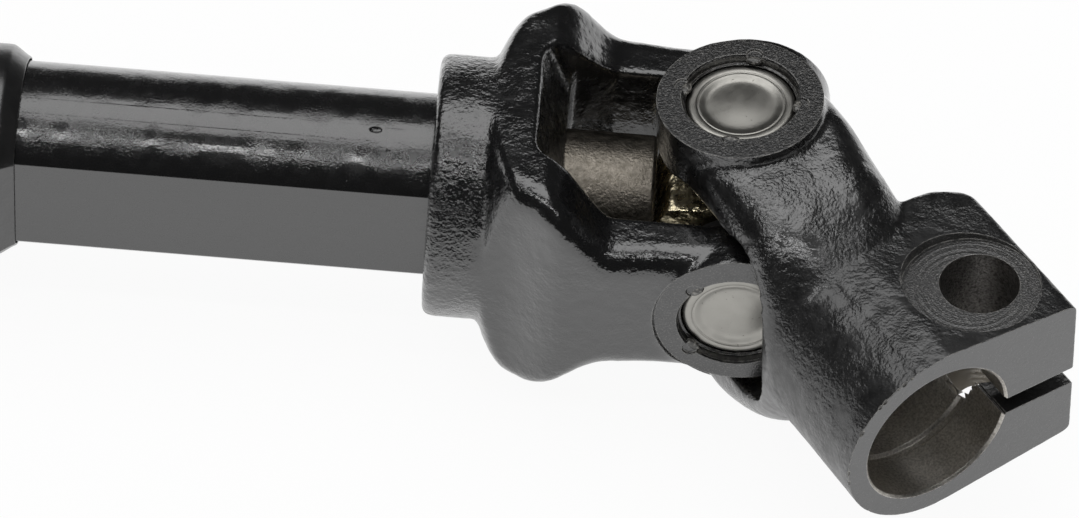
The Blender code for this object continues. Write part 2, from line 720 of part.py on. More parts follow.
def weld_bead(parent):
    """The fillet weld between the sleeve and the hub face of the upper tube yoke."""
    face = -HUB_FACE - SEAT_GAP
    radius = SLEEVE_RADIUS + SEAT_GAP
    flat = SLEEVE_FLAT + SEAT_GAP
    stations = []
    for along, rise in WELD_OUTLINE:
        stations.append((face - along * WELD_LEG, radius + rise * WELD_LEG, flat + rise * WELD_LEG))
    bead = double_d_bar("sleeve_weld", stations, finishes["shaft"])
    ends = (face - WELD_LEG - BEYOND, face + BEYOND)
    hollow = double_d_bar("sleeve_weld_hollow", [(x, radius, flat) for x in ends])
    place(bead, parent)
    place(hollow, parent)
    combine(bead, hollow, 'DIFFERENCE')


def stand_on_floor():
    """Put the origin at the middle of the part's footprint, on the surface that the part lies on."""
    bpy.context.view_layer.update()
    graph = bpy.context.evaluated_depsgraph_get()
    corners = []
    for obj in parts.objects:
        if obj.type == 'MESH':
            mesh = obj.evaluated_get(graph).to_mesh()
            corners += [obj.matrix_world @ vert.co for vert in mesh.vertices]
    low = [min(corner[i] for corner in corners) for i in range(3)]
    high = [max(corner[i] for corner in corners) for i in range(3)]
    assembly.location = (-(low[0] + high[0]) / 2, -(low[1] + high[1]) / 2, -low[2])
    bpy.context.view_layer.update()


clear_scene()
parts = new_collection(PART_NAME)
cutters = new_collection(PART_NAME + "_cutters")
finishes = {
    "forging": material("black_painted_forging", (0.018, 0.018, 0.020), 0.32, 0.0),
    "shaft": material("black_painted_bar", (0.016, 0.016, 0.018), 0.26, 0.0),
    "cup": material("bright_cup_steel", (0.55, 0.54, 0.51), 0.34, 1.0),
    "cross": material("forged_cross_steel", (0.42, 0.38, 0.30), 0.42, 1.0),
    "needle": material("needle_steel", (0.62, 0.62, 0.62), 0.18, 1.0),
    "seal": material("seal_rubber", (0.02, 0.02, 0.02), 0.70, 0.0),
    "bush": material("white_nylon", (0.72, 0.70, 0.64), 0.45, 0.0),
}
assembly = pivot("steering_shaft_frame")
shaft_socket = (SHAFT_RADIUS + SEAT_GAP, SHAFT_FLAT + SEAT_GAP)
sleeve_socket = (SLEEVE_RADIUS + SEAT_GAP, SLEEVE_FLAT + SEAT_GAP)
lower = joint("lower", (0, 0, 0), 0, LOWER_PITCH, LOWER_BEND, shaft_socket, STUB_RADIUS + SEAT_GAP)
upper = joint("upper", (-JOINT_DISTANCE, 0, 0), pi, 0, 0, sleeve_socket, STUB_RADIUS + SEAT_GAP)
inner_shaft(lower)
slide_bush(lower)
sleeve(lower)
weld_bead(upper)
stand_on_floor()
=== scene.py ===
# %% [markdown]
# # A telescoping steering shaft with two universal joints
# The shaft carries the turn of the steering wheel down to the steering gear. Two forged yokes and a small
# cross make each joint, and the far yoke of each joint is a split clamp that one bolt pinches shut.
# The solid model gives every size and every moving body. This lesson dresses it: the forgings get their
# soft edges and cast skin, the machined faces get their tool marks, and the paint gets its wear, with lighter sharp
# edges that are partly wear and partly a painted highlight.

# %% Load the frame
import json
from math import asin, atan2, ceil, copysign, cos, degrees, floor, pi, radians, sin, sqrt, tau

import bmesh
import bpy
from mathutils import Matrix, Vector, noise


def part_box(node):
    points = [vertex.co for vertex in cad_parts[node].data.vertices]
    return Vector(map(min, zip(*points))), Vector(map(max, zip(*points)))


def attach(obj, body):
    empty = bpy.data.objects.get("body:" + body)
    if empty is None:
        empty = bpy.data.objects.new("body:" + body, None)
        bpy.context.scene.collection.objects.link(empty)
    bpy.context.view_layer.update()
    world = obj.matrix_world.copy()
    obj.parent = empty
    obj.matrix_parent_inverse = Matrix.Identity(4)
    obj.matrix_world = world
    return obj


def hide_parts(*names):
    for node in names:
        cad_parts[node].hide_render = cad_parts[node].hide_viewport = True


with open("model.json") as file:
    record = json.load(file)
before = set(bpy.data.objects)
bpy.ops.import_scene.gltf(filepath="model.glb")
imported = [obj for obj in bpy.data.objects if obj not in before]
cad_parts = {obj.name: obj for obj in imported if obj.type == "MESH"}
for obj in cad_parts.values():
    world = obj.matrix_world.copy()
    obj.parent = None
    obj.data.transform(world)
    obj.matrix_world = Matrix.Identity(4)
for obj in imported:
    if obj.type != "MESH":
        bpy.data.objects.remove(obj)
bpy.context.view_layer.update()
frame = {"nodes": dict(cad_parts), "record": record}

# %% [markdown]
# ## Where the joints are
# Each joint turns about the centre of its cross, so the record's pivots and mounting faces give the
# frames to build in. A tube yoke is built with X pointing out of its fork, Y along its cups. A clamp yoke
# is built with X along its bore, Z along its cups, and its jaws towards Y.

# %% Joint frames
joints = {joint["name"]: joint for joint in frame["record"]["behaviour"]["joints"]}
mounts = {mount["name"]: mount for mount in frame["record"]["mounts"]}


def frame_of(origin, x_axis, z_axis):
    """A matrix that carries a yoke from its own frame to its place."""
    x, z = Vector(x_axis).normalized(), Vector(z_axis).normalized()
    y = z.cross(x).normalized()
    turned = Matrix((x, y, x.cross(y))).transposed()
    return Matrix.Translation(origin) @ turned.to_4x4()


lower_centre = Vector(joints["lower_bend"]["pos_m"])
upper_centre = Vector(joints["upper_bend"]["pos_m"])
lower_tube = frame_of(lower_centre, (1, 0, 0), (0, 0, 1))
upper_tube = frame_of(upper_centre, (-1, 0, 0), (0, 0, 1))
lower_clamp = frame_of(lower_centre, mounts["lower_clamp_end_face"]["axis"], joints["lower_bend"]["axis"])
upper_clamp = frame_of(upper_centre, mounts["upper_clamp_end_face"]["axis"], joints["upper_bend"]["axis"])
print("lower joint at", [round(1000 * v, 2) for v in lower_centre], "mm")

# %% [markdown]
# ## Sizes
# The upper joint stands straight, so the boxes of its solids give the sizes that both joints share. The
# few lengths that no box shows, such as a wall or a bore, are named here once.

# %% Sizes from the solids
MM = 0.001


def reach(node, axis, side, centre):
    """How far a solid reaches from a joint's centre along one axis."""
    low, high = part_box(node)
    return high[axis] - centre[axis] if side > 0 else centre[axis] - low[axis]


hub_face = reach("upper_tube_yoke", 0, 1, upper_centre)
clamp_end = reach("upper_clamp_yoke", 0, -1, upper_centre)
jaw_reach = reach("upper_clamp_yoke", 1, -1, upper_centre)
clamp_ear_face = reach("upper_clamp_yoke", 2, 1, upper_centre)
belly_half_width = reach("upper_tube_yoke", 1, 1, upper_centre)
belly_half_height = reach("upper_tube_yoke", 2, 1, upper_centre)
cup_low, cup_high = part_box("upper_cup_top")
cup_radius = (cup_high.x - cup_low.x) / 2
cup_length = cup_high.z - cup_low.z
cup_recess = clamp_ear_face - (cup_high.z - upper_centre.z)
tube_ear_face = reach("upper_cup_front", 1, 1, upper_centre) + cup_recess
sleeve_low, sleeve_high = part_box("sleeve")
bush_low, bush_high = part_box("slide_bush")
shaft_radius = (bush_high.z - bush_low.z) / 2
shaft_flat = (bush_high.y - bush_low.y) / 2
ear_radius = 11.55 * MM
tube_ear_shift = (0.4 * MM, 0.5 * MM)
clamp_ear_shift = (0.3 * MM, -0.35 * MM)
ear_inner = 14.1 * MM
hub_radius = 18.4 * MM
hub_length = 7.8 * MM
stub_radius = 9.3 * MM
clamp_bore = 11.0 * MM
clamp_hub = 14.3 * MM
print("hub face", round(hub_face / MM, 2), "clamp end", round(clamp_end / MM, 2), "jaws", round(jaw_reach / MM, 2))
print("ear faces", round(tube_ear_face / MM, 2), round(clamp_ear_face / MM, 2), "cup", round(cup_radius / MM, 2),
      round(cup_length / MM, 2), round(cup_recess / MM, 2))
print("belly", round(belly_half_width / MM, 2), round(belly_half_height / MM, 2), "shaft",
      round(shaft_radius / MM, 2), round(shaft_flat / MM, 2))

# %% [markdown]
# ## The studio
# A glossy black part shows little of its own colour. What the eye reads is the room it mirrors, so the
# room comes first: a pale floor, a wide soft box overhead and behind, a thin strip in front, and dark air
# everywhere else.

# %% Camera
VIEW_TURN, VIEW_HEIGHT, VIEW_ROLL = radians(-0.142), radians(46.595), radians(-4.758)
VIEW_OFFSET = Vector((-28.243, -6.983, 778.0)) * MM
back = Vector((sin(VIEW_TURN) * cos(VIEW_HEIGHT), -cos(VIEW_TURN) * cos(VIEW_HEIGHT), sin(VIEW_HEIGHT)))
right = Vector((cos(VIEW_TURN), sin(VIEW_TURN), 0))
up = back.cross(right)
rolled = (cos(VIEW_ROLL) * right - sin(VIEW_ROLL) * up, sin(VIEW_ROLL) * right + cos(VIEW_ROLL) * up, back)
looking = Matrix(rolled).transposed()
camera = bpy.data.objects.new("camera", bpy.data.cameras.new("camera"))
camera.data.sensor_width = 36
camera.data.lens = 185.36
camera.data.clip_start, camera.data.clip_end = 0.05, 20
camera.matrix_world = Matrix.Translation(lower_centre + looking @ VIEW_OFFSET) @ looking.to_4x4()
bpy.context.scene.collection.objects.link(camera)
bpy.context.scene.camera = camera
bpy.context.scene.view_settings.view_transform = 'Standard'
print("camera", [round(v, 3) for v in camera.location], "m")


# %% Node helpers
def node(tree, kind, **settings):
    """A shader node with its settings; a name that is a socket sets or links that socket."""
    made = tree.nodes.new(kind)
    for key, value in settings.items():
        if hasattr(made, key):
            setattr(made, key, value)
            continue
        spot = made.inputs[int(key[1:])] if key[0] == "_" else made.inputs[key.replace("_", " ")]
        if isinstance(value, bpy.types.NodeSocket):
            tree.links.new(value, spot)
        else:
            spot.default_value = value
    return made


def sums(tree, operation, first, second=0.0, clamp=False):
    """One step of arithmetic between sockets or numbers."""
    return node(tree, 'ShaderNodeMath', operation=operation, use_clamp=clamp, _0=first, _1=second).outputs[0]


# %% Floor and backdrop
def backdrop_material():
    made = bpy.data.materials.new("pale_backdrop")
    made.use_nodes = True
    tree = made.node_tree
    tree.nodes.clear()
    path = node(tree, 'ShaderNodeLightPath')
    mirrored = sums(tree, 'ADD', path.outputs["Is Glossy Ray"], path.outputs["Is Transmission Ray"], clamp=True)
    white = node(tree, 'ShaderNodeEmission', Color=(1, 1, 1, 1), Strength=1.0)
    paper = node(tree, 'ShaderNodeBsdfDiffuse', Color=(0.9, 0.9, 0.9, 1))
    share = sums(tree, 'ADD', sums(tree, 'MULTIPLY', path.outputs["Is Camera Ray"], 0.94),
                 sums(tree, 'MULTIPLY', mirrored, 0.55), clamp=True)
    mixed = node(tree, 'ShaderNodeMixShader', _0=share, _1=paper.outputs[0], _2=white.outputs[0])
    node(tree, 'ShaderNodeOutputMaterial', Surface=mixed.outputs[0])
    return made


def sweep_of_paper():
    """A wide flat sheet under the part."""
    bm = bmesh.new()
    edge = [bm.verts.new((x, -3.0, 0)) for x in (-4.0, 4.0)]
    edges = [bm.edges.new(edge)]
    for step in [(0, 4.6, 0), (0, 1.4, 0)]:
        made = bmesh.ops.extrude_edge_only(bm, edges=edges)["geom"]
        bmesh.ops.translate(bm, verts=[g for g in made if isinstance(g, bmesh.types.BMVert)], vec=step)
        edges = [g for g in made if isinstance(g, bmesh.types.BMEdge)]
    bmesh.ops.recalc_face_normals(bm, faces=bm.faces)
    mesh = bpy.data.meshes.new("backdrop")
    bm.to_mesh(mesh)
    bm.free()
    mesh.shade_smooth()
    mesh.materials.append(backdrop_material())
    sheet = bpy.data.objects.new("backdrop", mesh)
    bpy.context.scene.collection.objects.link(sheet)
    return sheet


backdrop = sweep_of_paper()


# %% Lights
def soft_box(name, place, aim, size, watts):
    lamp = bpy.data.lights.new(name, 'AREA')
    lamp.shape = 'RECTANGLE'
    lamp.size, lamp.size_y = size
    lamp.energy = watts
    holder = bpy.data.objects.new(name, lamp)
    holder.location = place
    holder.rotation_euler = (Vector(place) - Vector(aim)).to_track_quat('Z', 'Y').to_euler()
    bpy.context.scene.collection.objects.link(holder)
    return holder


soft_box("overhead_box", (-0.17, 0.375, 1.15), (-0.17, 0.375, 0.0), (1.36, 0.86), 6.2)
soft_box("front_strip", (0.10, -0.42, 1.15), (0.10, 0.0, 0.0), (1.9, 0.07), 2.9)
world = bpy.data.worlds.new("studio")
bpy.context.scene.world = world
world.use_nodes = True
air = world.node_tree
air.nodes.clear()
ray = node(air, 'ShaderNodeLightPath')
fill = node(air, 'ShaderNodeMath', operation='MULTIPLY_ADD', _0=ray.outputs["Is Diffuse Ray"], _1=0.5, _2=0.03)
dim = node(air, 'ShaderNodeBackground', Color=(1, 1, 1, 1), Strength=fill.outputs[0])
bright = node(air, 'ShaderNodeBackground', Color=(1, 1, 1, 1), Strength=1.0)
air_mix = node(air, 'ShaderNodeMixShader', _0=ray.outputs["Is Camera Ray"], _1=dim.outputs[0],
               _2=bright.outputs[0])
node(air, 'ShaderNodeOutputWorld', Surface=air_mix.outputs[0])

# %% [markdown]
# ## Making a forging
# Hot steel is struck between two dies, so every edge of a forging is soft, its skin is slightly pebbled,
# and only the faces that must be true are machined afterwards. The same order is followed here: plain
# shapes are joined, melted together with a voxel remesh, smoothed and roughened, and cut last.

# %% Mesh helpers
def piece(name, bm, finish=None):
    """A new object from a bmesh, with its faces turned outwards."""
    bmesh.ops.recalc_face_normals(bm, faces=bm.faces)
    if bm.calc_volume(signed=True) < 0:
        bmesh.ops.reverse_faces(bm, faces=bm.faces)
    mesh = bpy.data.meshes.new(name)
    bm.to_mesh(mesh)
    bm.free()
    if finish:
        mesh.materials.append(finish)
    made = bpy.data.objects.new(name, mesh)
    bpy.context.scene.collection.objects.link(made)
    return made


ALONG = {
    'X': Matrix(((0, 0, 1), (1, 0, 0), (0, 1, 0))).to_4x4(),
    'Y': Matrix(((1, 0, 0), (0, 0, 1), (0, 1, 0))).to_4x4(),
    'Z': Matrix.Identity(4),
}


def loft(sections, axis='X', count=72):
    """A solid through rounded rectangles, each (distance, half_a, half_b, corner, middle_a, middle_b)."""
    bm = bmesh.new()
    turn = bm.verts.layers.float.new("turn")
    ring = bmesh.ops.create_circle(bm, cap_ends=True, segments=count, radius=1.0)["verts"]
    edges = [e for e in bm.edges]
    for vert in ring:
        vert[turn] = atan2(vert.co.y, vert.co.x) + pi / count
    for place, section in enumerate(sections):
        if place:
            made = bmesh.ops.extrude_edge_only(bm, edges=edges)["geom"]
            ring = [g for g in made if isinstance(g, bmesh.types.BMVert)]
            edges = [g for g in made if isinstance(g, bmesh.types.BMEdge) and g.is_boundary]
        distance, half_a, half_b, corner, middle_a, middle_b = section
        corner = min(corner, half_a, half_b)
        for vert in ring:
            a, b = cos(vert[turn]), sin(vert[turn])
            vert.co = (
                middle_a + copysign(half_a - corner, a) + corner * a,
                middle_b + copysign(half_b - corner, b) + corner * b,
                distance,
            )
    bmesh.ops.edgeloop_fill(bm, edges=edges)
    bmesh.ops.transform(bm, matrix=ALONG[axis], verts=bm.verts)
    return bm


def rod(radius, low, high, axis='Z', segments=72, top_radius=None):
    """A round bar or cone between two distances along an axis."""
    bm = bmesh.new()
    bmesh.ops.create_cone(bm, cap_ends=True, segments=segments, radius1=radius,
                          radius2=radius if top_radius is None else top_radius, depth=high - low)
    bmesh.ops.translate(bm, verts=bm.verts, vec=(0, 0, (low + high) / 2))
    bmesh.ops.transform(bm, matrix=ALONG[axis], verts=bm.verts)
    return bm


def block(low, high):
    bm = bmesh.new()
    bmesh.ops.create_cube(bm, size=1.0, matrix=Matrix.LocRotScale(
        (Vector(low) + Vector(high)) / 2, None, Vector(high) - Vector(low)))
    return bm


def turned(profile, axis='Z', steps=96):
    """Spins a profile of (radius, height) points into a solid."""
    bm = bmesh.new()
    verts = [bm.verts.new((radius, 0, height)) for radius, height in profile]
    edges = [bm.edges.new(pair) for pair in zip(verts, verts[1:])]
    bmesh.ops.spin(bm, geom=verts + edges, cent=(0, 0, 0), axis=(0, 0, 1), dvec=(0, 0, 0), angle=tau,
                   steps=steps, use_merge=True, use_duplicate=False)
    bmesh.ops.remove_doubles(bm, verts=bm.verts, dist=1e-6)
    bmesh.ops.transform(bm, matrix=ALONG[axis], verts=bm.verts)
    return bm


def cut(target, tool, operation='DIFFERENCE'):
    """Joins or cuts one object with another, and keeps the tool's finish on the new faces."""
    step = target.modifiers.new(tool.name, 'BOOLEAN')
    step.operation = operation
    step.object = tool
    step.solver = 'EXACT'
    step.material_mode = 'TRANSFER'
    tool.hide_render = True


def bake(target, tools=()):
    """Applies what the modifiers have made, and puts the tools away."""
    bpy.context.view_layer.update()
    graph = bpy.context.evaluated_depsgraph_get()
    mesh = bpy.data.meshes.new_from_object(target.evaluated_get(graph))
    target.modifiers.clear()
    target.data = mesh
    for tool in tools:
        bpy.data.objects.remove(tool, do_unlink=True)
    return target


def cast_skin(target, voxel, passes, rough, seed):
    """Melts joined shapes into one skin with soft edges and a pebbled surface."""
    step = target.modifiers.new("melt", 'REMESH')
    step.mode = 'VOXEL'
    step.voxel_size = voxel
    step = target.modifiers.new("soften", 'SMOOTH')
    step.factor = 0.5
    step.iterations = passes
    for name, factor, times in (("gather", -1.1, 2), ("settle", 0.5, 2)):
        step = target.modifiers.new(name, 'SMOOTH')
        step.factor = factor
        step.iterations = times
    bake(target)
    drift = Vector((seed, 2.0 * seed, 3.0 * seed))
    mesh = target.data
    bumps = []
    for vert in mesh.vertices:
        spot = vert.co / MM + drift
        height = 0.6 * noise.noise(spot * 0.55) + 0.5 * noise.noise(spot * 1.3)
        bumps.append(vert.co + vert.normal * (rough * height))
    for vert, spot in zip(mesh.vertices, bumps):
        vert.co = spot
    return target


VOXEL = 0.42 * MM
SOFT_PASSES = 12
print("voxel", VOXEL)


# %% Stand-in finishes
def stand_in(name, colour=0.03, rough=0.35, metal=0.0):
    made = bpy.data.materials.new(name)
    made.use_nodes = True
    shader = made.node_tree.nodes["Principled BSDF"]
    shader.inputs["Base Color"].default_value = (colour, colour, colour, 1)
    shader.inputs["Roughness"].default_value = rough
    shader.inputs["Metallic"].default_value = metal
    return made


roles = {role: stand_in(role) for role in ("skin", "faced", "bored", "socketed", "end_faced", "clamp_bored",
                                           "seated", "drilled", "threaded", "slit", "punched")}

# %% [markdown]
# ## The tube yoke
# Its hub takes the bar. From the hub the forging swells into a square belly and then forks into two arms
# with a round ear at the end of each. The pocket between the arms leaves the other yoke room to swing.


# %% Tube yoke body
def ease(value, start, run):
    share = min(1.0, max(0.0, (value - start) / run))
    return share * share * (3 - 2 * share)


NECK = hub_face - hub_length
FORK_THROAT = 19.0 * MM
FORK_HALF_HEIGHT, FORK_HALF_WIDTH, FORK_TOP = 11.2 * MM, 22.0 * MM, 11.1 * MM
BELLY_SPREAD = 0.45 * MM
CORNER = 3.8 * MM


def belly_section(x):
    behind = NECK - x
    hub = hub_radius - 0.2 * MM
    wide = hub + (belly_half_width + BELLY_SPREAD - hub) * ease(behind, 2.2 * MM, 10.0 * MM)
    wide -= (belly_half_width + BELLY_SPREAD - FORK_HALF_WIDTH) * ease(-x, -FORK_THROAT, 9.5 * MM)
    rise = hub + (belly_half_height - hub) * ease(behind, -0.9 * MM, 5.2 * MM)
    below = rise - (belly_half_height - FORK_HALF_HEIGHT) * ease(behind, 6.2 * MM, 12.5 * MM)
    above = rise - (belly_half_height - FORK_TOP) * ease(behind, 7.7 * MM, 10.4 * MM)
    squareness = 1 - min(1.0, behind / (4.7 * MM))
    corner = CORNER + (hub - CORNER) * squareness ** 2
    return -x, wide, (above + below) / 2, corner, 0, (above - below) / 2


def tube_body():
    """Hub, belly and fork as one loft, with the ears and the pocket."""
    hub = [(-hub_face, hub_radius - 1.2 * MM), (-hub_face + 0.35 * MM, hub_radius - 0.35 * MM),
           (-hub_face + 1.2 * MM, hub_radius), (-NECK - 1.0 * MM, hub_radius)]
    sections = [(x, r, r, r, 0, 0) for x, r in hub]
    steps = 26
    sections += [belly_section(NECK + (0.5 * FORK_THROAT - NECK) * step / steps) for step in range(steps + 1)]
    sections.append((0, FORK_HALF_WIDTH, (FORK_TOP + FORK_HALF_HEIGHT) / 2, CORNER, 0,
                     (FORK_TOP - FORK_HALF_HEIGHT) / 2))
    body = piece("tube_body", loft(sections), roles["skin"])
    proud = tube_ear_face + 0.8 * MM
    ears = rod(ear_radius, -proud, proud, 'Y', 96)
    bmesh.ops.translate(ears, verts=ears.verts, vec=(tube_ear_shift[0], 0, tube_ear_shift[1]))
    ears = piece("ears", ears)
    gap = block((-25.0 * MM, -ear_inner, -0.05), (0.03, ear_inner, 0.05))
    throat = -18.5 * MM
    bmesh.ops.bisect_plane(gap, geom=gap.verts[:] + gap.edges[:] + gap.faces[:], dist=1e-7,
                           plane_co=(throat, 0, 0), plane_no=(1, 0, 0))
    for vert in gap.verts:
        if vert.co.x < throat - 1e-6:
            vert.co.y = copysign(11.4 * MM, vert.co.y)
    gap = piece("gap", gap)
    floor_at = ((0, 25.2), (stub_radius, 25.2), (belly_half_height, 29.5), (0.03, 34.0))
    rows = [(copysign(z, side), far) for side in (-1, 1) for z, far in floor_at]
    rows = sorted(set(rows))
    pocket = [(z, (far * MM - 0.012) / 2, 11.4 * MM, 3.5 * MM, -(far * MM + 0.012) / 2, 0) for z, far in rows]
    pocket = piece("pocket", loft(pocket, 'Z'))
    cut(body, ears, 'UNION')
    cut(body, gap)
    cut(body, pocket)
    return bake(body, (ears, gap, pocket))


# %% Machining a tube yoke
def cup_bore_tool(face, axis):
    """The bore through both ears, with its small chamfers."""
    radius, far = cup_radius + 0.08 * MM, face + 8 * MM
    lip = radius + 0.32 * MM
    half = [(0, far), (lip + 8.25 * MM, far), (lip, face - 0.25 * MM), (lip - 0.04 * MM, face - 1.35 * MM),
            (radius, face - 1.5 * MM)]
    return turned(half + [(r, -z) for r, z in reversed(half)], axis)


def facings(face, axis, shift):
    """One round cutter for each ear, which leaves a sloped step where the arm stands above the face."""
    made = []
    for side in (1, -1):
        near, far = ear_radius + 0.12 * MM, face + 7 * MM
        outline = [(0, side * face), (near, side * face), (near + 1.2 * MM, side * (face + 1.4 * MM)),
                   (near + 1.2 * MM, side * far), (0, side * far)]
        cutter = turned(outline, 'Z', 96)
        bmesh.ops.translate(cutter, verts=cutter.verts, vec=(*shift, 0))
        bmesh.ops.transform(cutter, matrix=ALONG[axis], verts=cutter.verts)
        made.append(piece("facing", cutter, roles["faced"]))
    return made


def around(bm, angle, out, height, side, axis):
    """Carries a small tool to its place round a cup, on one ear or the other."""
    spot = Vector((out * cos(angle), out * sin(angle), height))
    turn = Matrix.Rotation(0 if side > 0 else pi, 4, 'X')
    bmesh.ops.transform(bm, matrix=ALONG[axis] @ turn @ Matrix.Translation(spot) @ Matrix.Rotation(angle, 4, 'Z'),
                        verts=bm.verts)


STAKE_ANGLES = [radians(a) for a in (48, 135, 222, 318)]


def stakes(face, axis):
    """Punches round the rim of each bore."""
    made = []
    for side in (1, -1):
        for angle in STAKE_ANGLES:
            bm = rod(1.05 * MM, -0.32 * MM, 0.9 * MM, 'Z', 24, 1.45 * MM)
            around(bm, angle, 8.35 * MM, face, side, axis)
            made.append(piece("stake", bm, roles["faced"]))
    return made


def swells(body, face, axis):
    """The metal that each punch squeezes inwards, over the rim of the cup."""
    joined = bmesh.new()
    for side in (1, -1):
        for place, angle in enumerate(STAKE_ANGLES):
            bm = bmesh.new()
            bmesh.ops.create_icosphere(bm, subdivisions=3, radius=1.0 * MM)
            bmesh.ops.scale(bm, verts=bm.verts, vec=(0.62 + 0.06 * (place % 3), 1.25, 0.42))
            around(bm, angle, 7.85 * MM, face - 0.62 * MM, side, axis)
            mesh = bpy.data.meshes.new("swell")
            bm.to_mesh(mesh)
            bm.free()
            joined.from_mesh(mesh)
            bpy.data.meshes.remove(mesh)
    tool = piece("swells", joined, roles["punched"])
    cut(body, tool, 'UNION')
    return bake(body, [tool])


def machine(body, tools):
    """Joins all the cutters into one, cuts the forging once, and tidies its mesh."""
    first, *rest = tools
    for tool in rest:
        cut(first, tool, 'UNION')
    bake(first, rest)
    cut(body, first)
    bake(body, [first])
    bm = bmesh.new()
    bm.from_mesh(body.data)
    bmesh.ops.remove_doubles(bm, verts=bm.verts, dist=0.002 * MM)
    bmesh.ops.dissolve_degenerate(bm, edges=bm.edges, dist=0.001 * MM)
    bm.to_mesh(body.data)
    bm.free()
    body.data.shade_smooth()
    body.data.set_sharp_from_angle(angle=radians(28))
    return body


def double_d(radius, flat, stations, points=40):
    """A bar with two flats through stations of (distance, shrink), lying along X."""
    bm = bmesh.new()
    turn = bm.verts.layers.float.new("turn")
    ring = bmesh.ops.create_circle(bm, cap_ends=True, segments=2 * points, radius=1.0)["verts"]
    edges = [e for e in bm.edges]
    for vert in ring:
        vert[turn] = atan2(vert.co.y, vert.co.x) + pi / 2 / points
    for place, (distance, shrink) in enumerate(stations):
        if place:
            made = bmesh.ops.extrude_edge_only(bm, edges=edges)["geom"]
            ring = [g for g in made if isinstance(g, bmesh.types.BMVert)]
            edges = [g for g in made if isinstance(g, bmesh.types.BMEdge) and g.is_boundary]
        r, half = radius - shrink, flat - shrink
        span = asin(half / r)
        for vert in ring:
            share = 1 - 2 * ((vert[turn] % pi) / pi)
            side = 1 if (vert[turn] % tau) < pi else -1
            angle = span * min(1.0, max(-1.0, share / (1 - 1 / points)))
            vert.co = (side * r * sin(angle), side * r * cos(angle), distance)
    bmesh.ops.edgeloop_fill(bm, edges=edges)
    bmesh.ops.transform(bm, matrix=ALONG['X'], verts=bm.verts)
    return bm


def tube_yoke_tools(socket_radius, socket_flat):
    socket = double_d(socket_radius, socket_flat, [(-hub_face - 0.01, 0), (-hub_face + 5 * MM, 0)])
    tools = facings(tube_ear_face, 'Y', tube_ear_shift)
    tools.append(piece("cup_bores", cup_bore_tool(tube_ear_face, 'Y'), roles["bored"]))
    tools.append(piece("socket", socket, roles["socketed"]))
    tools.append(piece("stub_bore", rod(stub_radius + 0.2 * MM, -hub_face - 0.008, -15 * MM, 'X'),
                       roles["socketed"]))
    return tools + stakes(tube_ear_face, 'Y')


raw_tube = cast_skin(tube_body(), VOXEL, SOFT_PASSES, 0.07 * MM, 3.0)
print("tube yoke skin:", len(raw_tube.data.polygons), "faces")

# %% [markdown]
# ## The clamp yoke
# Two arms run in from the ears and merge into a round hub. The hub is bored for the shaft that it clamps,
# split on one side, and drawn together there by a bolt through two jaws.


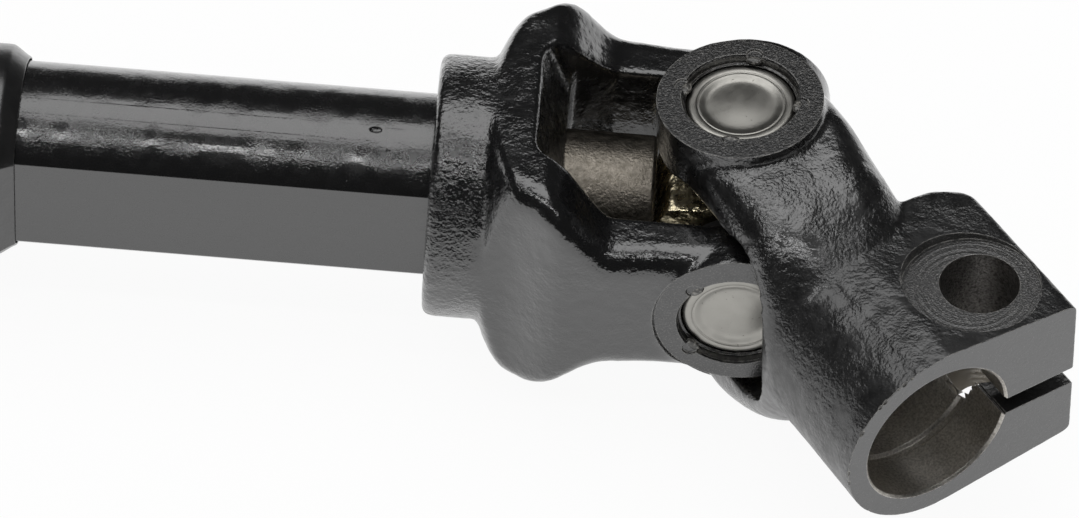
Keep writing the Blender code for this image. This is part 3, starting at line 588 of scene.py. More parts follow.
# %% Clamp yoke body
def clamp_body():
    taper = 30.0 * MM
    waist, arm_wide = 13.9 * MM, 11.3 * MM
    upper_arm, lower_arm = 20.6 * MM, 21.5 * MM
    shares = ((0.0, 0.0, 0.0, 0.0), (0.15, 0.0, 0.005, 0.0), (0.30, 0.0, 0.02, 0.0), (0.38, 0.01, 0.05, 0.005),
              (0.47, 0.03, 0.09, 0.02), (0.54, 0.06, 0.15, 0.06), (0.60, 0.10, 0.22, 0.12),
              (0.67, 0.19, 0.32, 0.22), (0.73, 0.30, 0.42, 0.33), (0.79, 0.44, 0.55, 0.46),
              (0.84, 0.58, 0.68, 0.60), (0.89, 0.72, 0.80, 0.74), (0.93, 0.84, 0.90, 0.86),
              (0.97, 0.94, 0.96, 0.95), (1.0, 1.0, 1.0, 1.0))
    sections = []
    for share, wide, top, bottom in shares:
        half = arm_wide + (waist - arm_wide) * wide
        above = upper_arm + (clamp_hub - upper_arm) * top
        below = lower_arm + (clamp_hub - lower_arm) * bottom
        below += 1.5 * MM * ease(share, 0.25, 0.2) * (1 - ease(share, 0.5, 0.3))
        corner = CORNER + (clamp_hub - CORNER) * top ** 2 + 3.6 * MM * ease(share, 0.25, 0.35) * (1 - top)
        outside = 0.5 * MM * (1 - ease(share, 0.55, 0.35))
        sections.append((taper * share, half + outside, (above + below) / 2, corner, outside, (above - below) / 2))
    sections.append((36 * MM, waist, clamp_hub, waist, 0, 0))
    for x in (clamp_end, clamp_end + 3 * MM):
        sections.append((x, clamp_hub, clamp_hub, clamp_hub, 0, 0))
    body = piece("clamp_body", loft(sections), roles["skin"])
    proud = clamp_ear_face + 0.8 * MM
    ears = rod(ear_radius, -proud, proud, 'Z', 96)
    bmesh.ops.translate(ears, verts=ears.verts, vec=(*clamp_ear_shift, 0))
    ears = piece("ears", ears)
    front, rear = clamp_end + 3 * MM, clamp_end - 25 * MM
    lean = (clamp_hub - 11.9 * MM) / jaw_reach
    root, first, last = clamp_hub * cos(lean), clamp_hub * sin(lean), jaw_reach - 0.9 * MM
    rows = [(-3.3 * MM, 3.3 * MM, root - 0.6 * MM, 0)]
    for share, bulge in ((0, 2.7), (0.25, 3.2), (0.5, 3.8), (0.65, 4.0), (0.8, 3.8), (0.92, 2.6)):
        rows.append((first + (last - first) * share, bulge * MM, root + (11.9 * MM - root) * share, 0))
    rows.append((last, 1.5 * MM, 11.9 * MM, 0))
    rows.append((jaw_reach, 0.5 * MM, 11.4 * MM, 0))
    jaws = []
    for y, bulge, half_height, middle in rows:
        low = rear - bulge
        lift = 0.2 * MM * ease(y, first, last - first)
        jaws.append((y, (front - low) / 2, half_height + 0.3 * MM + lift, 1.6 * MM, (front + low) / 2,
                     middle + 0.25 * MM + lift))
    jaws = piece("jaws", loft(jaws, 'Y'))
    crotch = block((-0.03, -0.05, -ear_inner), (25.4 * MM, 0.05, ear_inner))
    rims = [e for e in crotch.edges if all(v.co.x > 0 for v in e.verts) and
            abs(e.verts[0].co.y - e.verts[1].co.y) > 0.05]
    bmesh.ops.bevel(crotch, geom=rims, offset=9.0 * MM, segments=14, affect='EDGES', profile=0.5, material=-1)
    crotch = piece("crotch", crotch)
    cut(body, ears, 'UNION')
    cut(body, jaws, 'UNION')
    cut(body, crotch)
    return bake(body, (ears, jaws, crotch))


def clamp_bore_tool():
    groove, deep = clamp_end - 7.2 * MM, clamp_bore + 0.45 * MM
    far, near = clamp_end + 8 * MM, 12 * MM
    profile = [(0, far), (clamp_bore + 8.35 * MM, far), (clamp_bore, clamp_end - 0.35 * MM),
               (clamp_bore, groove), (deep, groove - 0.4 * MM), (deep, groove - 1.2 * MM),
               (clamp_bore, groove - 1.6 * MM), (clamp_bore, near), (0, near)]
    return turned(profile, 'X', 128)


def nicks_on_end_face():
    """Small dents where the rim of the end face has been knocked."""
    made = []
    for number, angle in enumerate(radians(a) for a in (108, 113, 117, 127, 131, 149, 178, 186, 221)):
        size = (0.34 + 0.5 * abs(noise.noise(Vector((0.2, number, 1.7))))) * MM
        bm = bmesh.new()
        bmesh.ops.create_icosphere(bm, subdivisions=2, radius=size)
        bmesh.ops.scale(bm, verts=bm.verts, vec=(0.6, 1.0, 1.3))
        out = clamp_hub + 0.12 * MM
        bmesh.ops.translate(bm, verts=bm.verts, vec=(clamp_end + 0.1 * MM, out * cos(angle), out * sin(angle)))
        made.append(piece("knock", bm, roles["punched"]))
    return made


def clamp_yoke_tools():
    wide = 0.05
    tools = facings(clamp_ear_face, 'Z', clamp_ear_shift)
    tools.append(piece("cup_bores", cup_bore_tool(clamp_ear_face, 'Z'), roles["bored"]))
    end = block((clamp_end, -wide, -0.9 * wide), (clamp_end + wide, wide, 0.9 * wide))
    tools.append(piece("end_face", end, roles["end_faced"]))
    tools.append(piece("clamp_bore", clamp_bore_tool(), roles["clamp_bored"]))
    slit_middle, slit_half = -1.0 * MM, 1.43 * MM
    slit = block((15 * MM, 0, slit_middle - slit_half), (clamp_end + 0.8 * wide, 0.9 * wide, slit_middle + slit_half))
    tools.append(piece("slit", slit, roles["slit"]))
    for out, half in ((clamp_bore, 1.18 * MM), (jaw_reach, 1.15 * MM)):
        mouth = block((14 * MM, -half, -half), (clamp_end + 0.7 * wide, half, half))
        bmesh.ops.rotate(mouth, verts=mouth.verts, matrix=Matrix.Rotation(pi / 4, 3, 'X'))
        bmesh.ops.translate(mouth, verts=mouth.verts, vec=(0, out, slit_middle))
        tools.append(piece("slit_mouth", mouth, roles["slit"]))
    bolt_x, bolt_y = clamp_end - 10.7 * MM, 13.5 * MM
    hole = rod(5.45 * MM, -0.5 * MM, 0.04)
    bmesh.ops.translate(hole, verts=hole.verts, vec=(bolt_x, bolt_y, 0))
    tools.append(piece("bolt_hole", hole, roles["drilled"]))
    pitch, deep = 1.06 * MM, 0.58 * MM
    profile = [(0, 1 * MM), (4.3 * MM, 1 * MM)]
    for turn in range(15):
        top, crest = -1.2 * MM - pitch * turn, (4.3 - 0.03 * turn) * MM
        profile += [(crest, top), (crest + deep, top - 0.45 * pitch), (crest + deep, top - 0.55 * pitch)]
    profile += [(crest, -18 * MM), (0, -18 * MM)]
    thread = turned(profile, 'Z', 48)
    bmesh.ops.translate(thread, verts=thread.verts, vec=(bolt_x + 0.5 * MM, bolt_y + 0.3 * MM, 0))
    tools.append(piece("bolt_thread", thread, roles["threaded"]))
    seat = rod(9.55 * MM, 12.2 * MM, 30 * MM, 'Z', 96)
    bmesh.ops.translate(seat, verts=seat.verts, vec=(bolt_x + 0.3 * MM, bolt_y - 1.6 * MM, 0))
    tools.append(piece("bolt_seat", seat, roles["seated"]))
    return tools + stakes(clamp_ear_face, 'Z') + nicks_on_end_face()


raw_clamp = cast_skin(clamp_body(), VOXEL, SOFT_PASSES, 0.05 * MM, 7.0)
print("clamp yoke skin:", len(raw_clamp.data.polygons), "faces")


# %% Place the yokes
def placed(source, name, place, body, *nodes):
    """A finished piece from a copy of a mesh, carried to its place."""
    mesh = source.data.copy()
    mesh.transform(place)
    made = bpy.data.objects.new(name, mesh)
    bpy.context.scene.collection.objects.link(made)
    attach(made, body)
    if nodes:
        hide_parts(*nodes)
    return made


def copied(source):
    made = source.copy()
    made.data = source.data.copy()
    bpy.context.scene.collection.objects.link(made)
    return made


for prefix, place, r, f in (("lower", lower_tube, shaft_radius + 0.3 * MM, shaft_flat + 0.3 * MM),
                            ("upper", upper_tube, shaft_radius + 2.4 * MM, shaft_flat + 2.4 * MM)):
    work = swells(machine(copied(raw_tube), tube_yoke_tools(r, f)), tube_ear_face, 'Y')
    yoke = placed(work, prefix + "_tube_forging", place, prefix + "_shaft", prefix + "_tube_yoke")
    bpy.data.objects.remove(work, do_unlink=True)
    print(yoke.name, len(yoke.data.polygons), "faces")
work = swells(machine(copied(raw_clamp), clamp_yoke_tools()), clamp_ear_face, 'Z')
for prefix, place in (("lower", lower_clamp), ("upper", upper_clamp)):
    yoke = placed(work, prefix + "_clamp_forging", place, prefix + "_clamp", prefix + "_clamp_yoke")
    print(yoke.name, len(yoke.data.polygons), "faces")
for spare in (work, raw_tube, raw_clamp):
    bpy.data.objects.remove(spare, do_unlink=True)


# %% [markdown]
# ## Finishes
# Everything here is black paint or bare steel, so the finishes differ in three things only: how rough
# they are, what small relief catches the lamps, and how much wear they show; the lighter colour along sharp
# edges stands partly for wear and partly for a painted highlight. One maker builds them all from
# layers of noise in the part's own space, so a pattern stays on the metal when the part moves.


# %% Finish maker
def own_space(tree, place=None):
    """Coordinates fixed to the piece, centred and turned by a Mapping node where a pattern needs an axis."""
    spot = node(tree, 'ShaderNodeTexCoord').outputs["Object"]
    if place is None:
        return spot
    back_home = place.inverted()
    return node(tree, 'ShaderNodeMapping', Vector=spot, Location=back_home.translation,
                Rotation=back_home.to_euler()).outputs[0]


def grain(tree, spot, size, detail=2.0, kind='FBM'):
    """Noise whose blobs are about size metres across."""
    return node(tree, 'ShaderNodeTexNoise', noise_type=kind, Vector=spot, Scale=1 / size, Detail=detail).outputs[0]


def ramp(tree, value, low, high, first=0.0, last=1.0):
    """Spreads a range of a value over another range."""
    made = node(tree, 'ShaderNodeMapRange', Value=value, From_Min=low, From_Max=high, To_Min=first, To_Max=last)
    return made.outputs[0]


def finish_of(name, colour, rough, metal=0.0, coat=0.0, coat_rough=0.08, relief=(), patchy=None, stain=None,
              rings=None, place=None, coat_ior=1.5, rougher=None, edge=0.0, edge_wear_and_highlight=None, drawn=None, ior=1.5):
    """A finish. relief is (size, depth) layers; patchy is (size, low, high): where the relief is strong."""
    made = bpy.data.materials.new(name)
    made.use_nodes = True
    tree = made.node_tree
    shader = tree.nodes["Principled BSDF"]
    for socket, value in (("Metallic", metal), ("Coat Weight", coat), ("Coat Roughness", coat_rough),
                          ("IOR", ior), ("Coat IOR", coat_ior)):
        shader.inputs[socket].default_value = value
    spot = own_space(tree, place)
    paint = (*colour, 1)
    if stain:
        size, other, low, high = stain
        share = ramp(tree, grain(tree, spot, size, 4.0), low, high)
        paint = node(tree, 'ShaderNodeMix', data_type='RGBA', _0=share, _6=paint, _7=(*other, 1)).outputs[2]
    if edge:
        edge_bevel = node(tree, 'ShaderNodeBevel', samples=4, Radius=edge)
    # Sharp edges, found where the bevelled normal leaves the true one, are painted a lighter colour in broken
    # patches: partly wear, partly a painted highlight.
    if edge_wear_and_highlight:
        flat = node(tree, 'ShaderNodeNewGeometry').outputs["True Normal"]
        facing = node(tree, 'ShaderNodeVectorMath', operation='DOT_PRODUCT', _0=edge_bevel.outputs[0], _1=flat)
        rim = sums(tree, 'MULTIPLY', ramp(tree, facing.outputs["Value"], 0.97, 0.88),
                   ramp(tree, grain(tree, spot, 0.8 * MM, 3.0), 0.40, 0.52))
        paint = node(tree, 'ShaderNodeMix', data_type='RGBA', _0=rim, _6=paint, _7=(*edge_wear_and_highlight, 1)).outputs[2]
    if isinstance(paint, tuple):
        shader.inputs["Base Color"].default_value = paint
    else:
        tree.links.new(paint, shader.inputs["Base Color"])
    rough_at = ramp(tree, grain(tree, spot, 1.7 * MM, 3.0), 0.35, 0.65, rough[0], rough[1])
    where = ramp(tree, grain(tree, spot, patchy[0], 1.0), 0.40, 0.60, patchy[1], patchy[2]) if patchy else None
    if rougher:
        home, axis, low, high, times, duller, coat_left = rougher
        along = node(tree, 'ShaderNodeSeparateXYZ', _0=own_space(tree, home)).outputs[axis]
        along = sums(tree, 'ABSOLUTE', along)
        where = sums(tree, 'MULTIPLY', where, ramp(tree, along, low, high, 1.0, times))
        rough_at = sums(tree, 'MULTIPLY', rough_at, ramp(tree, along, low, high, 1.0, duller))
        if coat_left < 1.0:
            tree.links.new(ramp(tree, along, low, high, 1.0, coat_left), shader.inputs["Coat Weight"])
    tree.links.new(rough_at, shader.inputs["Roughness"])
    height = None
    for size, depth in relief:
        layer = sums(tree, 'MULTIPLY', grain(tree, spot, size), depth)
        height = layer if height is None else sums(tree, 'ADD', height, layer)
    if where is not None:
        height = sums(tree, 'MULTIPLY', height, where)
    if drawn:
        size, depth = drawn
        long_way = node(tree, 'ShaderNodeVectorMath', operation='MULTIPLY', _0=spot, _1=(0.02, 1, 1)).outputs[0]
        layer = sums(tree, 'MULTIPLY', grain(tree, long_way, size), depth)
        height = layer if height is None else sums(tree, 'ADD', height, layer)
    if rings:
        pitch, depth = rings
        flat = node(tree, 'ShaderNodeVectorMath', operation='MULTIPLY', _0=spot, _1=(1, 1, 0)).outputs[0]
        radius = node(tree, 'ShaderNodeVectorMath', operation='LENGTH', _0=flat).outputs["Value"]
        lines = node(tree, 'ShaderNodeTexNoise', noise_dimensions='1D', W=radius, Scale=1 / pitch, Detail=2.0)
        layer = sums(tree, 'MULTIPLY', lines.outputs[0], depth)
        height = layer if height is None else sums(tree, 'ADD', height, layer)
    if height is not None:
        bump = node(tree, 'ShaderNodeBump', Height=height, Distance=1.0, Strength=1.0)
        if edge:
            tree.links.new(edge_bevel.outputs[0], bump.inputs["Normal"])
        tree.links.new(bump.outputs[0], shader.inputs["Normal"])
        if coat:
            tree.links.new(bump.outputs[0], shader.inputs["Coat Normal"])
    return made


def about(place, axis):
    """The frame of a pattern that turns about one axis of a placed piece."""
    return place @ ALONG[axis]


BLACK = (0.0045, 0.0045, 0.0048)
# A light grey painted along sharp edges: partly paint chipped to the metal, partly a painted highlight where an edge
# would catch the lamps.
EDGE_WEAR_AND_HIGHLIGHT_GREY = (0.34, 0.33, 0.31)


def yoke_paint(prefix, place):
    """Thick gloss paint over a cast skin, with the coarsest pebbles round the hub."""
    return finish_of(prefix + "_tube_yoke_paint", BLACK, (0.20, 0.30), coat=1.0, coat_rough=0.05, coat_ior=1.8,
                     relief=((1.1 * MM, 0.095 * MM), (0.42 * MM, 0.055 * MM), (0.2 * MM, 0.012 * MM)),
                     patchy=(9 * MM, 0.40, 1.2), rougher=(place, 0, 34 * MM, 38 * MM, 3.2, 1.0, 1.0), edge=0.2 * MM,
                     edge_wear_and_highlight=EDGE_WEAR_AND_HIGHLIGHT_GREY)


def clamp_paint(prefix, place):
    """The same paint over a coarser skin: crinkled on the arms, and dull and grainy round the clamp."""
    return finish_of(prefix + "_clamp_yoke_paint", BLACK, (0.24, 0.36), coat=1.0, coat_rough=0.06, coat_ior=1.75,
                     relief=((0.85 * MM, 0.15 * MM), (0.38 * MM, 0.080 * MM), (0.18 * MM, 0.020 * MM)),
                     stain=(0.3 * MM, (0.040, 0.039, 0.037), 0.60, 0.72),
                     patchy=(6 * MM, 0.35, 1.3), rougher=(place, 0, 20 * MM, 29 * MM, 1.0, 1.4, 0.5), edge=0.2 * MM, ior=1.65,
                     edge_wear_and_highlight=EDGE_WEAR_AND_HIGHLIGHT_GREY)


bar_paint = finish_of("bar_paint", BLACK, (0.20, 0.30), coat=1.0, coat_rough=0.05, coat_ior=1.8,
                      relief=((2.8 * MM, 0.05 * MM), (0.34 * MM, 0.034 * MM), (0.17 * MM, 0.012 * MM)),
                      patchy=(5 * MM, 0.35, 1.2), edge=0.15 * MM, drawn=(0.3 * MM, 0.006 * MM),
                      rougher=(lower_tube, 1, shaft_flat - 0.7 * MM, shaft_flat - 0.1 * MM, 0.2, 1.0, 1.0))
# The sleeve's edges are painted a dim grey: partly wear, partly a painted highlight.
sleeve_paint = finish_of("sleeve_paint", BLACK, (0.34, 0.46), coat=1.0, coat_rough=0.22, coat_ior=1.75,
                         relief=((0.6 * MM, 0.03 * MM), (0.25 * MM, 0.02 * MM)), patchy=(5 * MM, 0.5, 1.2),
                         edge=0.25 * MM, edge_wear_and_highlight=(0.10, 0.10, 0.10))
bore_wall = finish_of("bore_wall_paint", BLACK, (0.30, 0.45), coat=1.0, coat_rough=0.15, coat_ior=1.75,
                      relief=((0.5 * MM, 0.04 * MM), (0.22 * MM, 0.02 * MM)), edge=0.15 * MM, edge_wear_and_highlight=EDGE_WEAR_AND_HIGHLIGHT_GREY,
                      stain=(0.7 * MM, (0.05, 0.048, 0.042), 0.50, 0.66))
tube_seat = finish_of("bored_seat_paint", BLACK, (0.30, 0.45), relief=((0.3 * MM, 0.01 * MM),))
punched = finish_of("punched_steel", (0.05, 0.048, 0.044), (0.25, 0.45), metal=0.3, coat=0.8, coat_rough=0.15,
                    relief=((0.35 * MM, 0.05 * MM),), stain=(0.5 * MM, (0.25, 0.24, 0.22), 0.50, 0.62))
slit_paint = finish_of("slit_paint", (0.008, 0.008, 0.008), (0.30, 0.50), coat=0.8, coat_rough=0.2, coat_ior=1.7,
                       relief=((0.6 * MM, 0.09 * MM), (0.25 * MM, 0.03 * MM)), edge=0.2 * MM, edge_wear_and_highlight=EDGE_WEAR_AND_HIGHLIGHT_GREY)


def ear_finish(prefix, place, axis):
    """Paint over a faced ear: grainy, with faint tool rings, scuffed specks and a rim painted lighter, partly as wear
    and partly as a painted highlight.
    """
    return finish_of(prefix + "_ear_face", (0.006, 0.006, 0.006), (0.32, 0.46), coat=1.0, coat_rough=0.15,
                     relief=((0.6 * MM, 0.030 * MM), (0.26 * MM, 0.060 * MM)), rings=(0.35 * MM, 0.006 * MM),
                     stain=(0.28 * MM, (0.10, 0.096, 0.09), 0.54, 0.70), place=about(place, axis),
                     coat_ior=1.75, edge=0.26 * MM, edge_wear_and_highlight=EDGE_WEAR_AND_HIGHLIGHT_GREY)


tube_finishes = {
    "lower": {"skin": yoke_paint("lower", lower_tube), "bored": bore_wall, "socketed": tube_seat,
              "punched": punched,
              "faced": ear_finish("lower_tube", lower_tube, 'Y')},
    "upper": {"skin": yoke_paint("upper", upper_tube), "bored": bore_wall, "socketed": tube_seat,
              "punched": punched,
              "faced": ear_finish("upper_tube", upper_tube, 'Y')},
}


def clamp_finishes(prefix, place):
    bolt = place @ Matrix.Translation((clamp_end - 10.7 * MM, 13.5 * MM, 0))
    seat = place @ Matrix.Translation((clamp_end - 10.4 * MM, 11.9 * MM, 0))
    bore = about(place, 'X')
    return {
        "skin": clamp_paint(prefix, place), "bored": bore_wall, "punched": punched, "slit": slit_paint,
        "faced": ear_finish(prefix + "_clamp", place, 'Z'),
        "end_faced": finish_of(prefix + "_end_face", (0.006, 0.006, 0.0065), (0.26, 0.36), coat=1.0,
                               coat_rough=0.12, coat_ior=1.8, relief=((0.6 * MM, 0.014 * MM), (0.2 * MM, 0.012 * MM)),
                               stain=(0.25 * MM, (0.06, 0.058, 0.056), 0.60, 0.72),
                               rings=(0.9 * MM, 0.003 * MM), place=bore, edge=0.25 * MM, edge_wear_and_highlight=EDGE_WEAR_AND_HIGHLIGHT_GREY),
        # The edges of the bore and of the bolt hole are painted a pale steel colour: partly wear, partly a painted
        # highlight.
        "clamp_bored": finish_of(prefix + "_clamp_bore", (0.66, 0.63, 0.58), (0.34, 0.48), metal=1.0,
                                 relief=((0.28 * MM, 0.040 * MM),), place=bore, edge=0.25 * MM,
                                 stain=(0.32 * MM, (0.36, 0.34, 0.31), 0.35, 0.70), edge_wear_and_highlight=(0.9, 0.88, 0.84)),
        "seated": finish_of(prefix + "_bolt_seat", (0.020, 0.0195, 0.019), (0.34, 0.48), coat=1.0,
                            coat_rough=0.14, relief=((0.25 * MM, 0.055 * MM),), rings=(0.5 * MM, 0.045 * MM),
                            stain=(0.30 * MM, (0.13, 0.126, 0.12), 0.54, 0.70), place=seat, edge=0.25 * MM,
                            coat_ior=1.7, edge_wear_and_highlight=EDGE_WEAR_AND_HIGHLIGHT_GREY),
        "drilled": finish_of(prefix + "_bolt_hole", (0.22, 0.21, 0.20), (0.30, 0.45), metal=0.8,
                             relief=((0.30 * MM, 0.07 * MM),), place=bolt, edge=0.22 * MM, edge_wear_and_highlight=(0.6, 0.58, 0.54),
                             stain=(0.35 * MM, (0.05, 0.047, 0.043), 0.35, 0.70)),
        "threaded": finish_of(prefix + "_bolt_thread", (0.62, 0.59, 0.54), (0.28, 0.4), metal=0.8,
                              relief=((0.3 * MM, 0.01 * MM),), place=bolt),
    }


print("finishes:", len(bpy.data.materials))


# %% Finishes for the yokes
def dress(obj, finishes):
    """Swaps each stand-in for the finish that it stands for."""
    for slot in obj.material_slots:
        role = slot.material.name.split(".")[0]
        if role in finishes:
            slot.material = finishes[role]


for prefix in ("lower", "upper"):
    dress(bpy.data.objects[prefix + "_tube_forging"], tube_finishes[prefix])
    place = lower_clamp if prefix == "lower" else upper_clamp
    dress(bpy.data.objects[prefix + "_clamp_forging"], clamp_finishes(prefix, place))

# %% [markdown]
# ## Needle bearing cups
# A cup is drawn from sheet steel, hardened and ground. Its closed end shows at the ear: a flat rim, a
# rolled shoulder and a shallow dome. One profile is spun for all eight cups.


# %% Cups
def cup_outline():
    """Half section of a cup as (radius, height under its rim), from the middle of the dome outwards."""
    side, base = cup_radius, 1.7 * MM
    points = [(0, 0.24), (0.8, 0.25), (1.6, 0.29), (2.4, 0.35), (3.2, 0.42), (4.0, 0.48), (4.5, 0.50),
              (4.8, 0.47), (5.1, 0.39), (5.4, 0.27), (5.7, 0.16), (5.9, 0.11), (5.98, 0.15), (6.06, 0.16),
              (6.14, 0.09), (6.28, 0.03), (6.5, 0.0), (6.85, 0.0), (7.05, 0.04), (7.25, 0.14), (7.42, 0.32),
              (7.54, 0.56)]
    outline = [(r * MM, -drop * MM) for r, drop in points]
    outline += [(side, -0.9 * MM), (side, 0.25 * MM - cup_length), (side - 0.25 * MM, -cup_length),
                (side - 0.9 * MM, -cup_length), (side - 0.9 * MM, -base), (0, -base)]
    return outline


def cup_finish(name, place):
    return finish_of(name, (0.42, 0.41, 0.38), (0.32, 0.40), metal=1.0, rings=(0.22 * MM, 0.0012 * MM),
                     relief=((0.35 * MM, 0.006 * MM),), stain=(0.5 * MM, (0.22, 0.21, 0.19), 0.68, 0.72),
                     place=place)


CUP_PLACES = {
    "front": Matrix.Rotation(pi / 2, 4, 'X'),
    "back": Matrix.Rotation(-pi / 2, 4, 'X'),
    "top": Matrix.Identity(4),
    "bottom": Matrix.Rotation(pi, 4, 'X'),
}
homes = {"lower": (lower_tube, lower_clamp), "upper": (upper_tube, upper_clamp)}
for prefix, (tube_home, clamp_home) in homes.items():
    for side, turn in CUP_PLACES.items():
        on_tube = side in ("front", "back")
        face = tube_ear_face if on_tube else clamp_ear_face
        home = (tube_home if on_tube else clamp_home) @ turn
        rim = home @ Matrix.Translation((0, 0, face - cup_recess))
        name = "_".join((prefix, "cup_shell", side))
        cup = piece(name, turned(cup_outline()), cup_finish(name + "_steel", rim))
        cup.data.transform(rim)
        cup.data.shade_smooth()
        cup.data.set_sharp_from_angle(angle=radians(50))
        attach(cup, prefix + ("_shaft" if on_tube else "_clamp"))
        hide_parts("_".join((prefix, "cup", side)))

# %% [markdown]
# ## The cross
# The cross is a rough forging with four ground pins. Only its core shows, deep in the joint, still wet
# with the golden oil that it was packed in. It is melted and smoothed as the yokes are.


# %% Cross
def cross_body():
    bm = rod(12.3 * MM, -7.8 * MM, 7.8 * MM, 'Y', 48)
    for side in (1, -1):
        bmesh.ops.bisect_plane(bm, geom=bm.verts[:] + bm.edges[:] + bm.faces[:], dist=1e-7, clear_outer=True,
                               plane_co=(0, 0, side * 7.6 * MM), plane_no=(0, 0, side))
        bmesh.ops.holes_fill(bm, edges=[e for e in bm.edges if e.is_boundary], sides=0)
    body = piece("cross_core", bm, roles["skin"])
    tools = [piece("shoulder", rod(6.6 * MM, -8.1 * MM, 8.1 * MM, axis)) for axis in 'YZ']
    for tool in tools:
        cut(body, tool, 'UNION')
    bake(body, tools)
    cast_skin(body, 0.45 * MM, 5, 0.10 * MM, 11.0)
    pins = []
    for axis, face in (('Y', tube_ear_face), ('Z', clamp_ear_face)):
        end = face - cup_recess - 1.7 * MM - 0.5 * MM
        half = [(0, end), (3.9 * MM, end), (4.2 * MM, end - 0.3 * MM)]
        pins.append(piece("pins", turned(half + [(r, -z) for r, z in reversed(half)], axis, 64), roles["bored"]))
        collar = [(0, 8.3 * MM), (6.4 * MM, 8.3 * MM), (6.6 * MM, 8.1 * MM)]
        pins.append(piece("collars", turned(collar + [(r, -z) for r, z in reversed(collar)], axis, 64),
                          roles["bored"]))
    for pin in pins:
        cut(body, pin, 'UNION')
    bake(body, pins)
    body.data.shade_smooth()
    body.data.set_sharp_from_angle(angle=radians(30))
    return body


cross_skin = finish_of("oiled_cross_steel", (0.88, 0.78, 0.54), (0.20, 0.36), metal=1.0,
                       relief=((1.6 * MM, 0.45 * MM), (0.5 * MM, 0.06 * MM)),
                       stain=(1.5 * MM, (0.24, 0.205, 0.145), 0.54, 0.66))
pin_steel = finish_of("ground_pin_steel", (0.56, 0.55, 0.52), (0.12, 0.2), metal=1.0,
                      relief=((0.2 * MM, 0.001 * MM),))
raw_cross = cross_body()
bend_axis = Vector(joints["lower_bend"]["axis"])
tilted = frame_of(lower_centre, Vector((0, 1, 0)).cross(bend_axis), bend_axis)
for prefix, place in (("lower", tilted), ("upper", upper_tube)):
    made = placed(raw_cross, prefix + "_cross_forging", place, prefix + "_cross_body", prefix + "_cross")
    dress(made, {"skin": cross_skin, "bored": pin_steel})
    print(made.name, len(made.data.polygons), "faces")
bpy.data.objects.remove(raw_cross, do_unlink=True)

# %% [markdown]
# ## The bar and the sleeve
# The bar is drawn steel with two flats, so it slides in the sleeve but cannot turn in it. The end that
# goes through the yoke is turned down to a round stub and left bare. The sleeve's mouth is swaged in.

# %% Bar
shaft_low, shaft_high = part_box("inner_shaft")
SLEEVE_MOUTH = sleeve_high.x - lower_centre.x
SHOULDER = -hub_face + 4.7 * MM
BUSH_START = bush_low.x - lower_centre.x
BUSH_END = bush_high.x - lower_centre.x


def bar_body():
    start = shaft_low.x - lower_centre.x
    neck = 1.3 * MM
    stations = [(start, neck + 0.8 * MM), (start + 0.8 * MM, neck), (BUSH_END + 0.3 * MM, neck),
                (BUSH_END + 0.6 * MM, 0), (SHOULDER - 0.4 * MM, 0), (SHOULDER, 0.4 * MM)]
    bar = piece("bar", double_d(shaft_radius, shaft_flat, stations, 48), roles["skin"])
    tip = shaft_high.x - lower_centre.x
    stub_profile = [(0, SHOULDER - 5 * MM), (stub_radius, SHOULDER - 5 * MM), (stub_radius, tip - 0.55 * MM),
                    (stub_radius - 0.2 * MM, tip - 0.15 * MM), (stub_radius - 0.6 * MM, tip), (0, tip)]
    stub = piece("stub", turned(stub_profile, 'X', 96), roles["bored"])
    cut(bar, stub, 'UNION')
    bake(bar, [stub])
    nicks = []
    for x, angle, size in ((-51.6, 11.5, 1.0), (-50.0, 9.5, 0.3), (-49.6, 26, 0.5),
                           (-48.8, 31, 0.4), (-50.6, 24, 0.35), (-73, 20, 0.3), (-90, 8, 0.3), (-66, 12, 0.25)):
        bm = bmesh.new()
        bmesh.ops.create_icosphere(bm, subdivisions=2, radius=size * MM)
        bmesh.ops.scale(bm, verts=bm.verts, vec=(1.0, 0.6, 0.5))
        a = radians(angle)
        bmesh.ops.translate(bm, verts=bm.verts, vec=(x * MM, -(shaft_radius + 0.12 * MM) * sin(a),
                                                     (shaft_radius + 0.12 * MM) * cos(a)))
        nicks.append(piece("nick", bm, roles["skin"]))
    for nick in nicks:
        cut(bar, nick)
    bake(bar, nicks)
    bar.data.shade_smooth()
    bar.data.set_sharp_from_angle(angle=radians(24))
    return bar


stub_steel = finish_of("bare_stub_steel", (0.27, 0.245, 0.21), (0.28, 0.46), metal=1.0,
                       relief=((1.3 * MM, 0.08 * MM), (0.36 * MM, 0.075 * MM), (0.16 * MM, 0.03 * MM)),
                       stain=(0.6 * MM, (0.15, 0.135, 0.11), 0.30, 0.72), edge=0.25 * MM)
bar_source = bar_body()
bar = placed(bar_source, "shaft_bar", lower_tube, "lower_shaft", "inner_shaft")
dress(bar, {"skin": bar_paint, "bored": stub_steel})
bpy.data.objects.remove(bar_source, do_unlink=True)
print("bar:", len(bar.data.polygons), "faces")


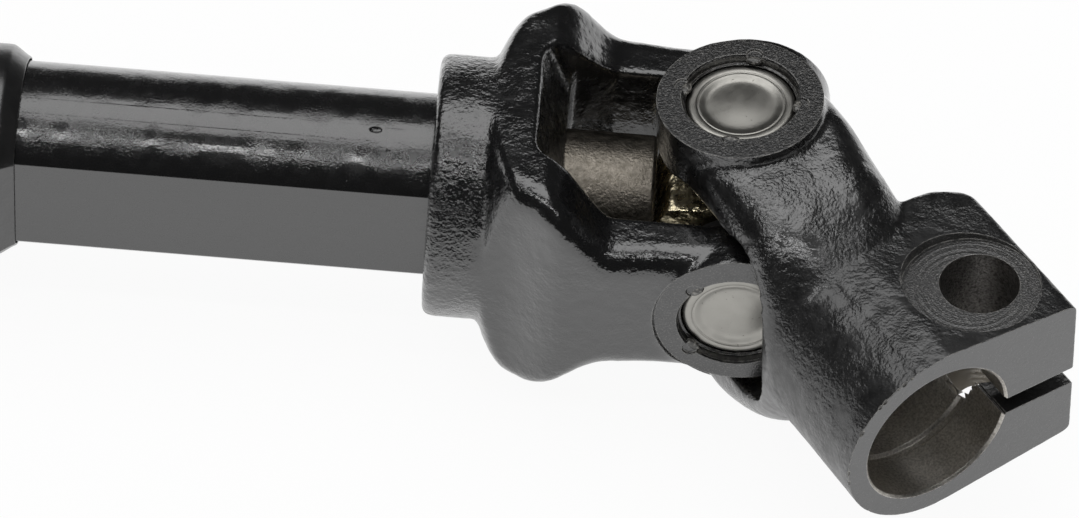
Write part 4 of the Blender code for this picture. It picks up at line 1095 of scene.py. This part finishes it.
# %% Sleeve and its weld
def sleeve_body():
    wall = (sleeve_high.z - sleeve_low.z) / 2 - shaft_radius - 0.3 * MM
    outer, flat = shaft_radius + 0.3 * MM + wall, shaft_flat + 0.3 * MM + wall
    start, mouth = sleeve_low.x - lower_centre.x, SLEEVE_MOUTH + 0.9 * MM
    stations = [(start, 0), (mouth - 2.9 * MM, 0), (mouth - 2.4 * MM, 0.05 * MM), (mouth - 2.0 * MM, 0.25 * MM),
                (mouth - 0.5 * MM, wall - 0.5 * MM), (mouth - 0.15 * MM, wall - 0.32 * MM),
                (mouth, wall - 0.2 * MM)]
    tube = piece("tube", double_d(outer, flat, stations, 48), roles["skin"])
    inside = [(start - 0.01, 0), (SLEEVE_MOUTH + 0.01, 0)]
    hollow = piece("hollow", double_d(shaft_radius + 0.3 * MM, shaft_flat + 0.3 * MM, inside, 48), roles["bored"])
    cut(tube, hollow)
    bake(tube, [hollow])
    tube.data.shade_smooth()
    tube.data.set_sharp_from_angle(angle=radians(26))
    return tube


sleeve_source = sleeve_body()
sleeve = placed(sleeve_source, "sleeve_tube", lower_tube, "upper_shaft", "sleeve")
dress(sleeve, {"skin": sleeve_paint, "bored": tube_seat})
bpy.data.objects.remove(sleeve_source, do_unlink=True)


def weld_body():
    """A fillet that runs round the sleeve in overlapping ripples."""
    leg, face = 2.4 * MM, -hub_face - 0.3 * MM
    outer, flat = shaft_radius + 2.4 * MM, shaft_flat + 2.4 * MM
    rows = 8
    stations = []
    for row in range(rows + 1):
        share = 1 - row / rows
        stations.append((face - share * leg, -leg * (0.12 + 0.88 * (1 - share) ** 0.8)))
    bead = piece("bead", double_d(outer, flat, stations, 120), roles["skin"])
    for vert in bead.data.vertices:
        x, y, z = vert.co
        along = (face - x) / leg
        ripple = sin(atan2(z, y) * 46 + 2.2 * along)
        swell = 1 + (0.010 * ripple + 0.006 * noise.noise(vert.co / MM * 0.4)) * sin(pi * min(1, max(0, along)))
        vert.co.y, vert.co.z = y * swell, z * swell
    inside = [(face - 0.01, 0), (face + 0.01, 0)]
    hollow = piece("hollow", double_d(outer, flat, inside, 60), roles["skin"])
    cut(bead, hollow)
    bake(bead, [hollow])
    bead.data.shade_smooth()
    bead.data.set_sharp_from_angle(angle=radians(40))
    return bead


weld_source = weld_body()
weld = placed(weld_source, "weld_bead", upper_tube, "upper_shaft", "sleeve_weld")
dress(weld, {"skin": bar_paint})
bpy.data.objects.remove(weld_source, do_unlink=True)
print("sleeve:", len(sleeve.data.polygons), "weld:", len(weld.data.polygons), "faces")

# %% [markdown]
# ## What stays as the solid made it
# The needles, the lip seals and the nylon bush are hidden in the assembled part. Their solids already
# have the right shape, so they only take a finish.

# %% Finishes for the solids that stay
needle_steel = finish_of("needle_roller_steel", (0.62, 0.62, 0.61), (0.10, 0.20), metal=1.0,
                         relief=((0.3 * MM, 0.001 * MM),))
seal_rubber = finish_of("seal_rubber_black", (0.018, 0.018, 0.018), (0.55, 0.75),
                        relief=((0.6 * MM, 0.02 * MM), (0.15 * MM, 0.008 * MM)))
bush_nylon = finish_of("bush_nylon_white", (0.70, 0.68, 0.61), (0.35, 0.5), relief=((0.8 * MM, 0.012 * MM),),
                       stain=(4 * MM, (0.55, 0.51, 0.42), 0.5, 0.75))
for name, obj in frame["nodes"].items():
    kind = {"needles": needle_steel, "seal": seal_rubber, "bush": bush_nylon}
    for word, finish in kind.items():
        if word in name:
            for slot in obj.material_slots:
                slot.material = finish
for stand in roles.values():
    if not stand.users:
        bpy.data.materials.remove(stand)
print("materials in use:", len([m for m in bpy.data.materials if m.users]))
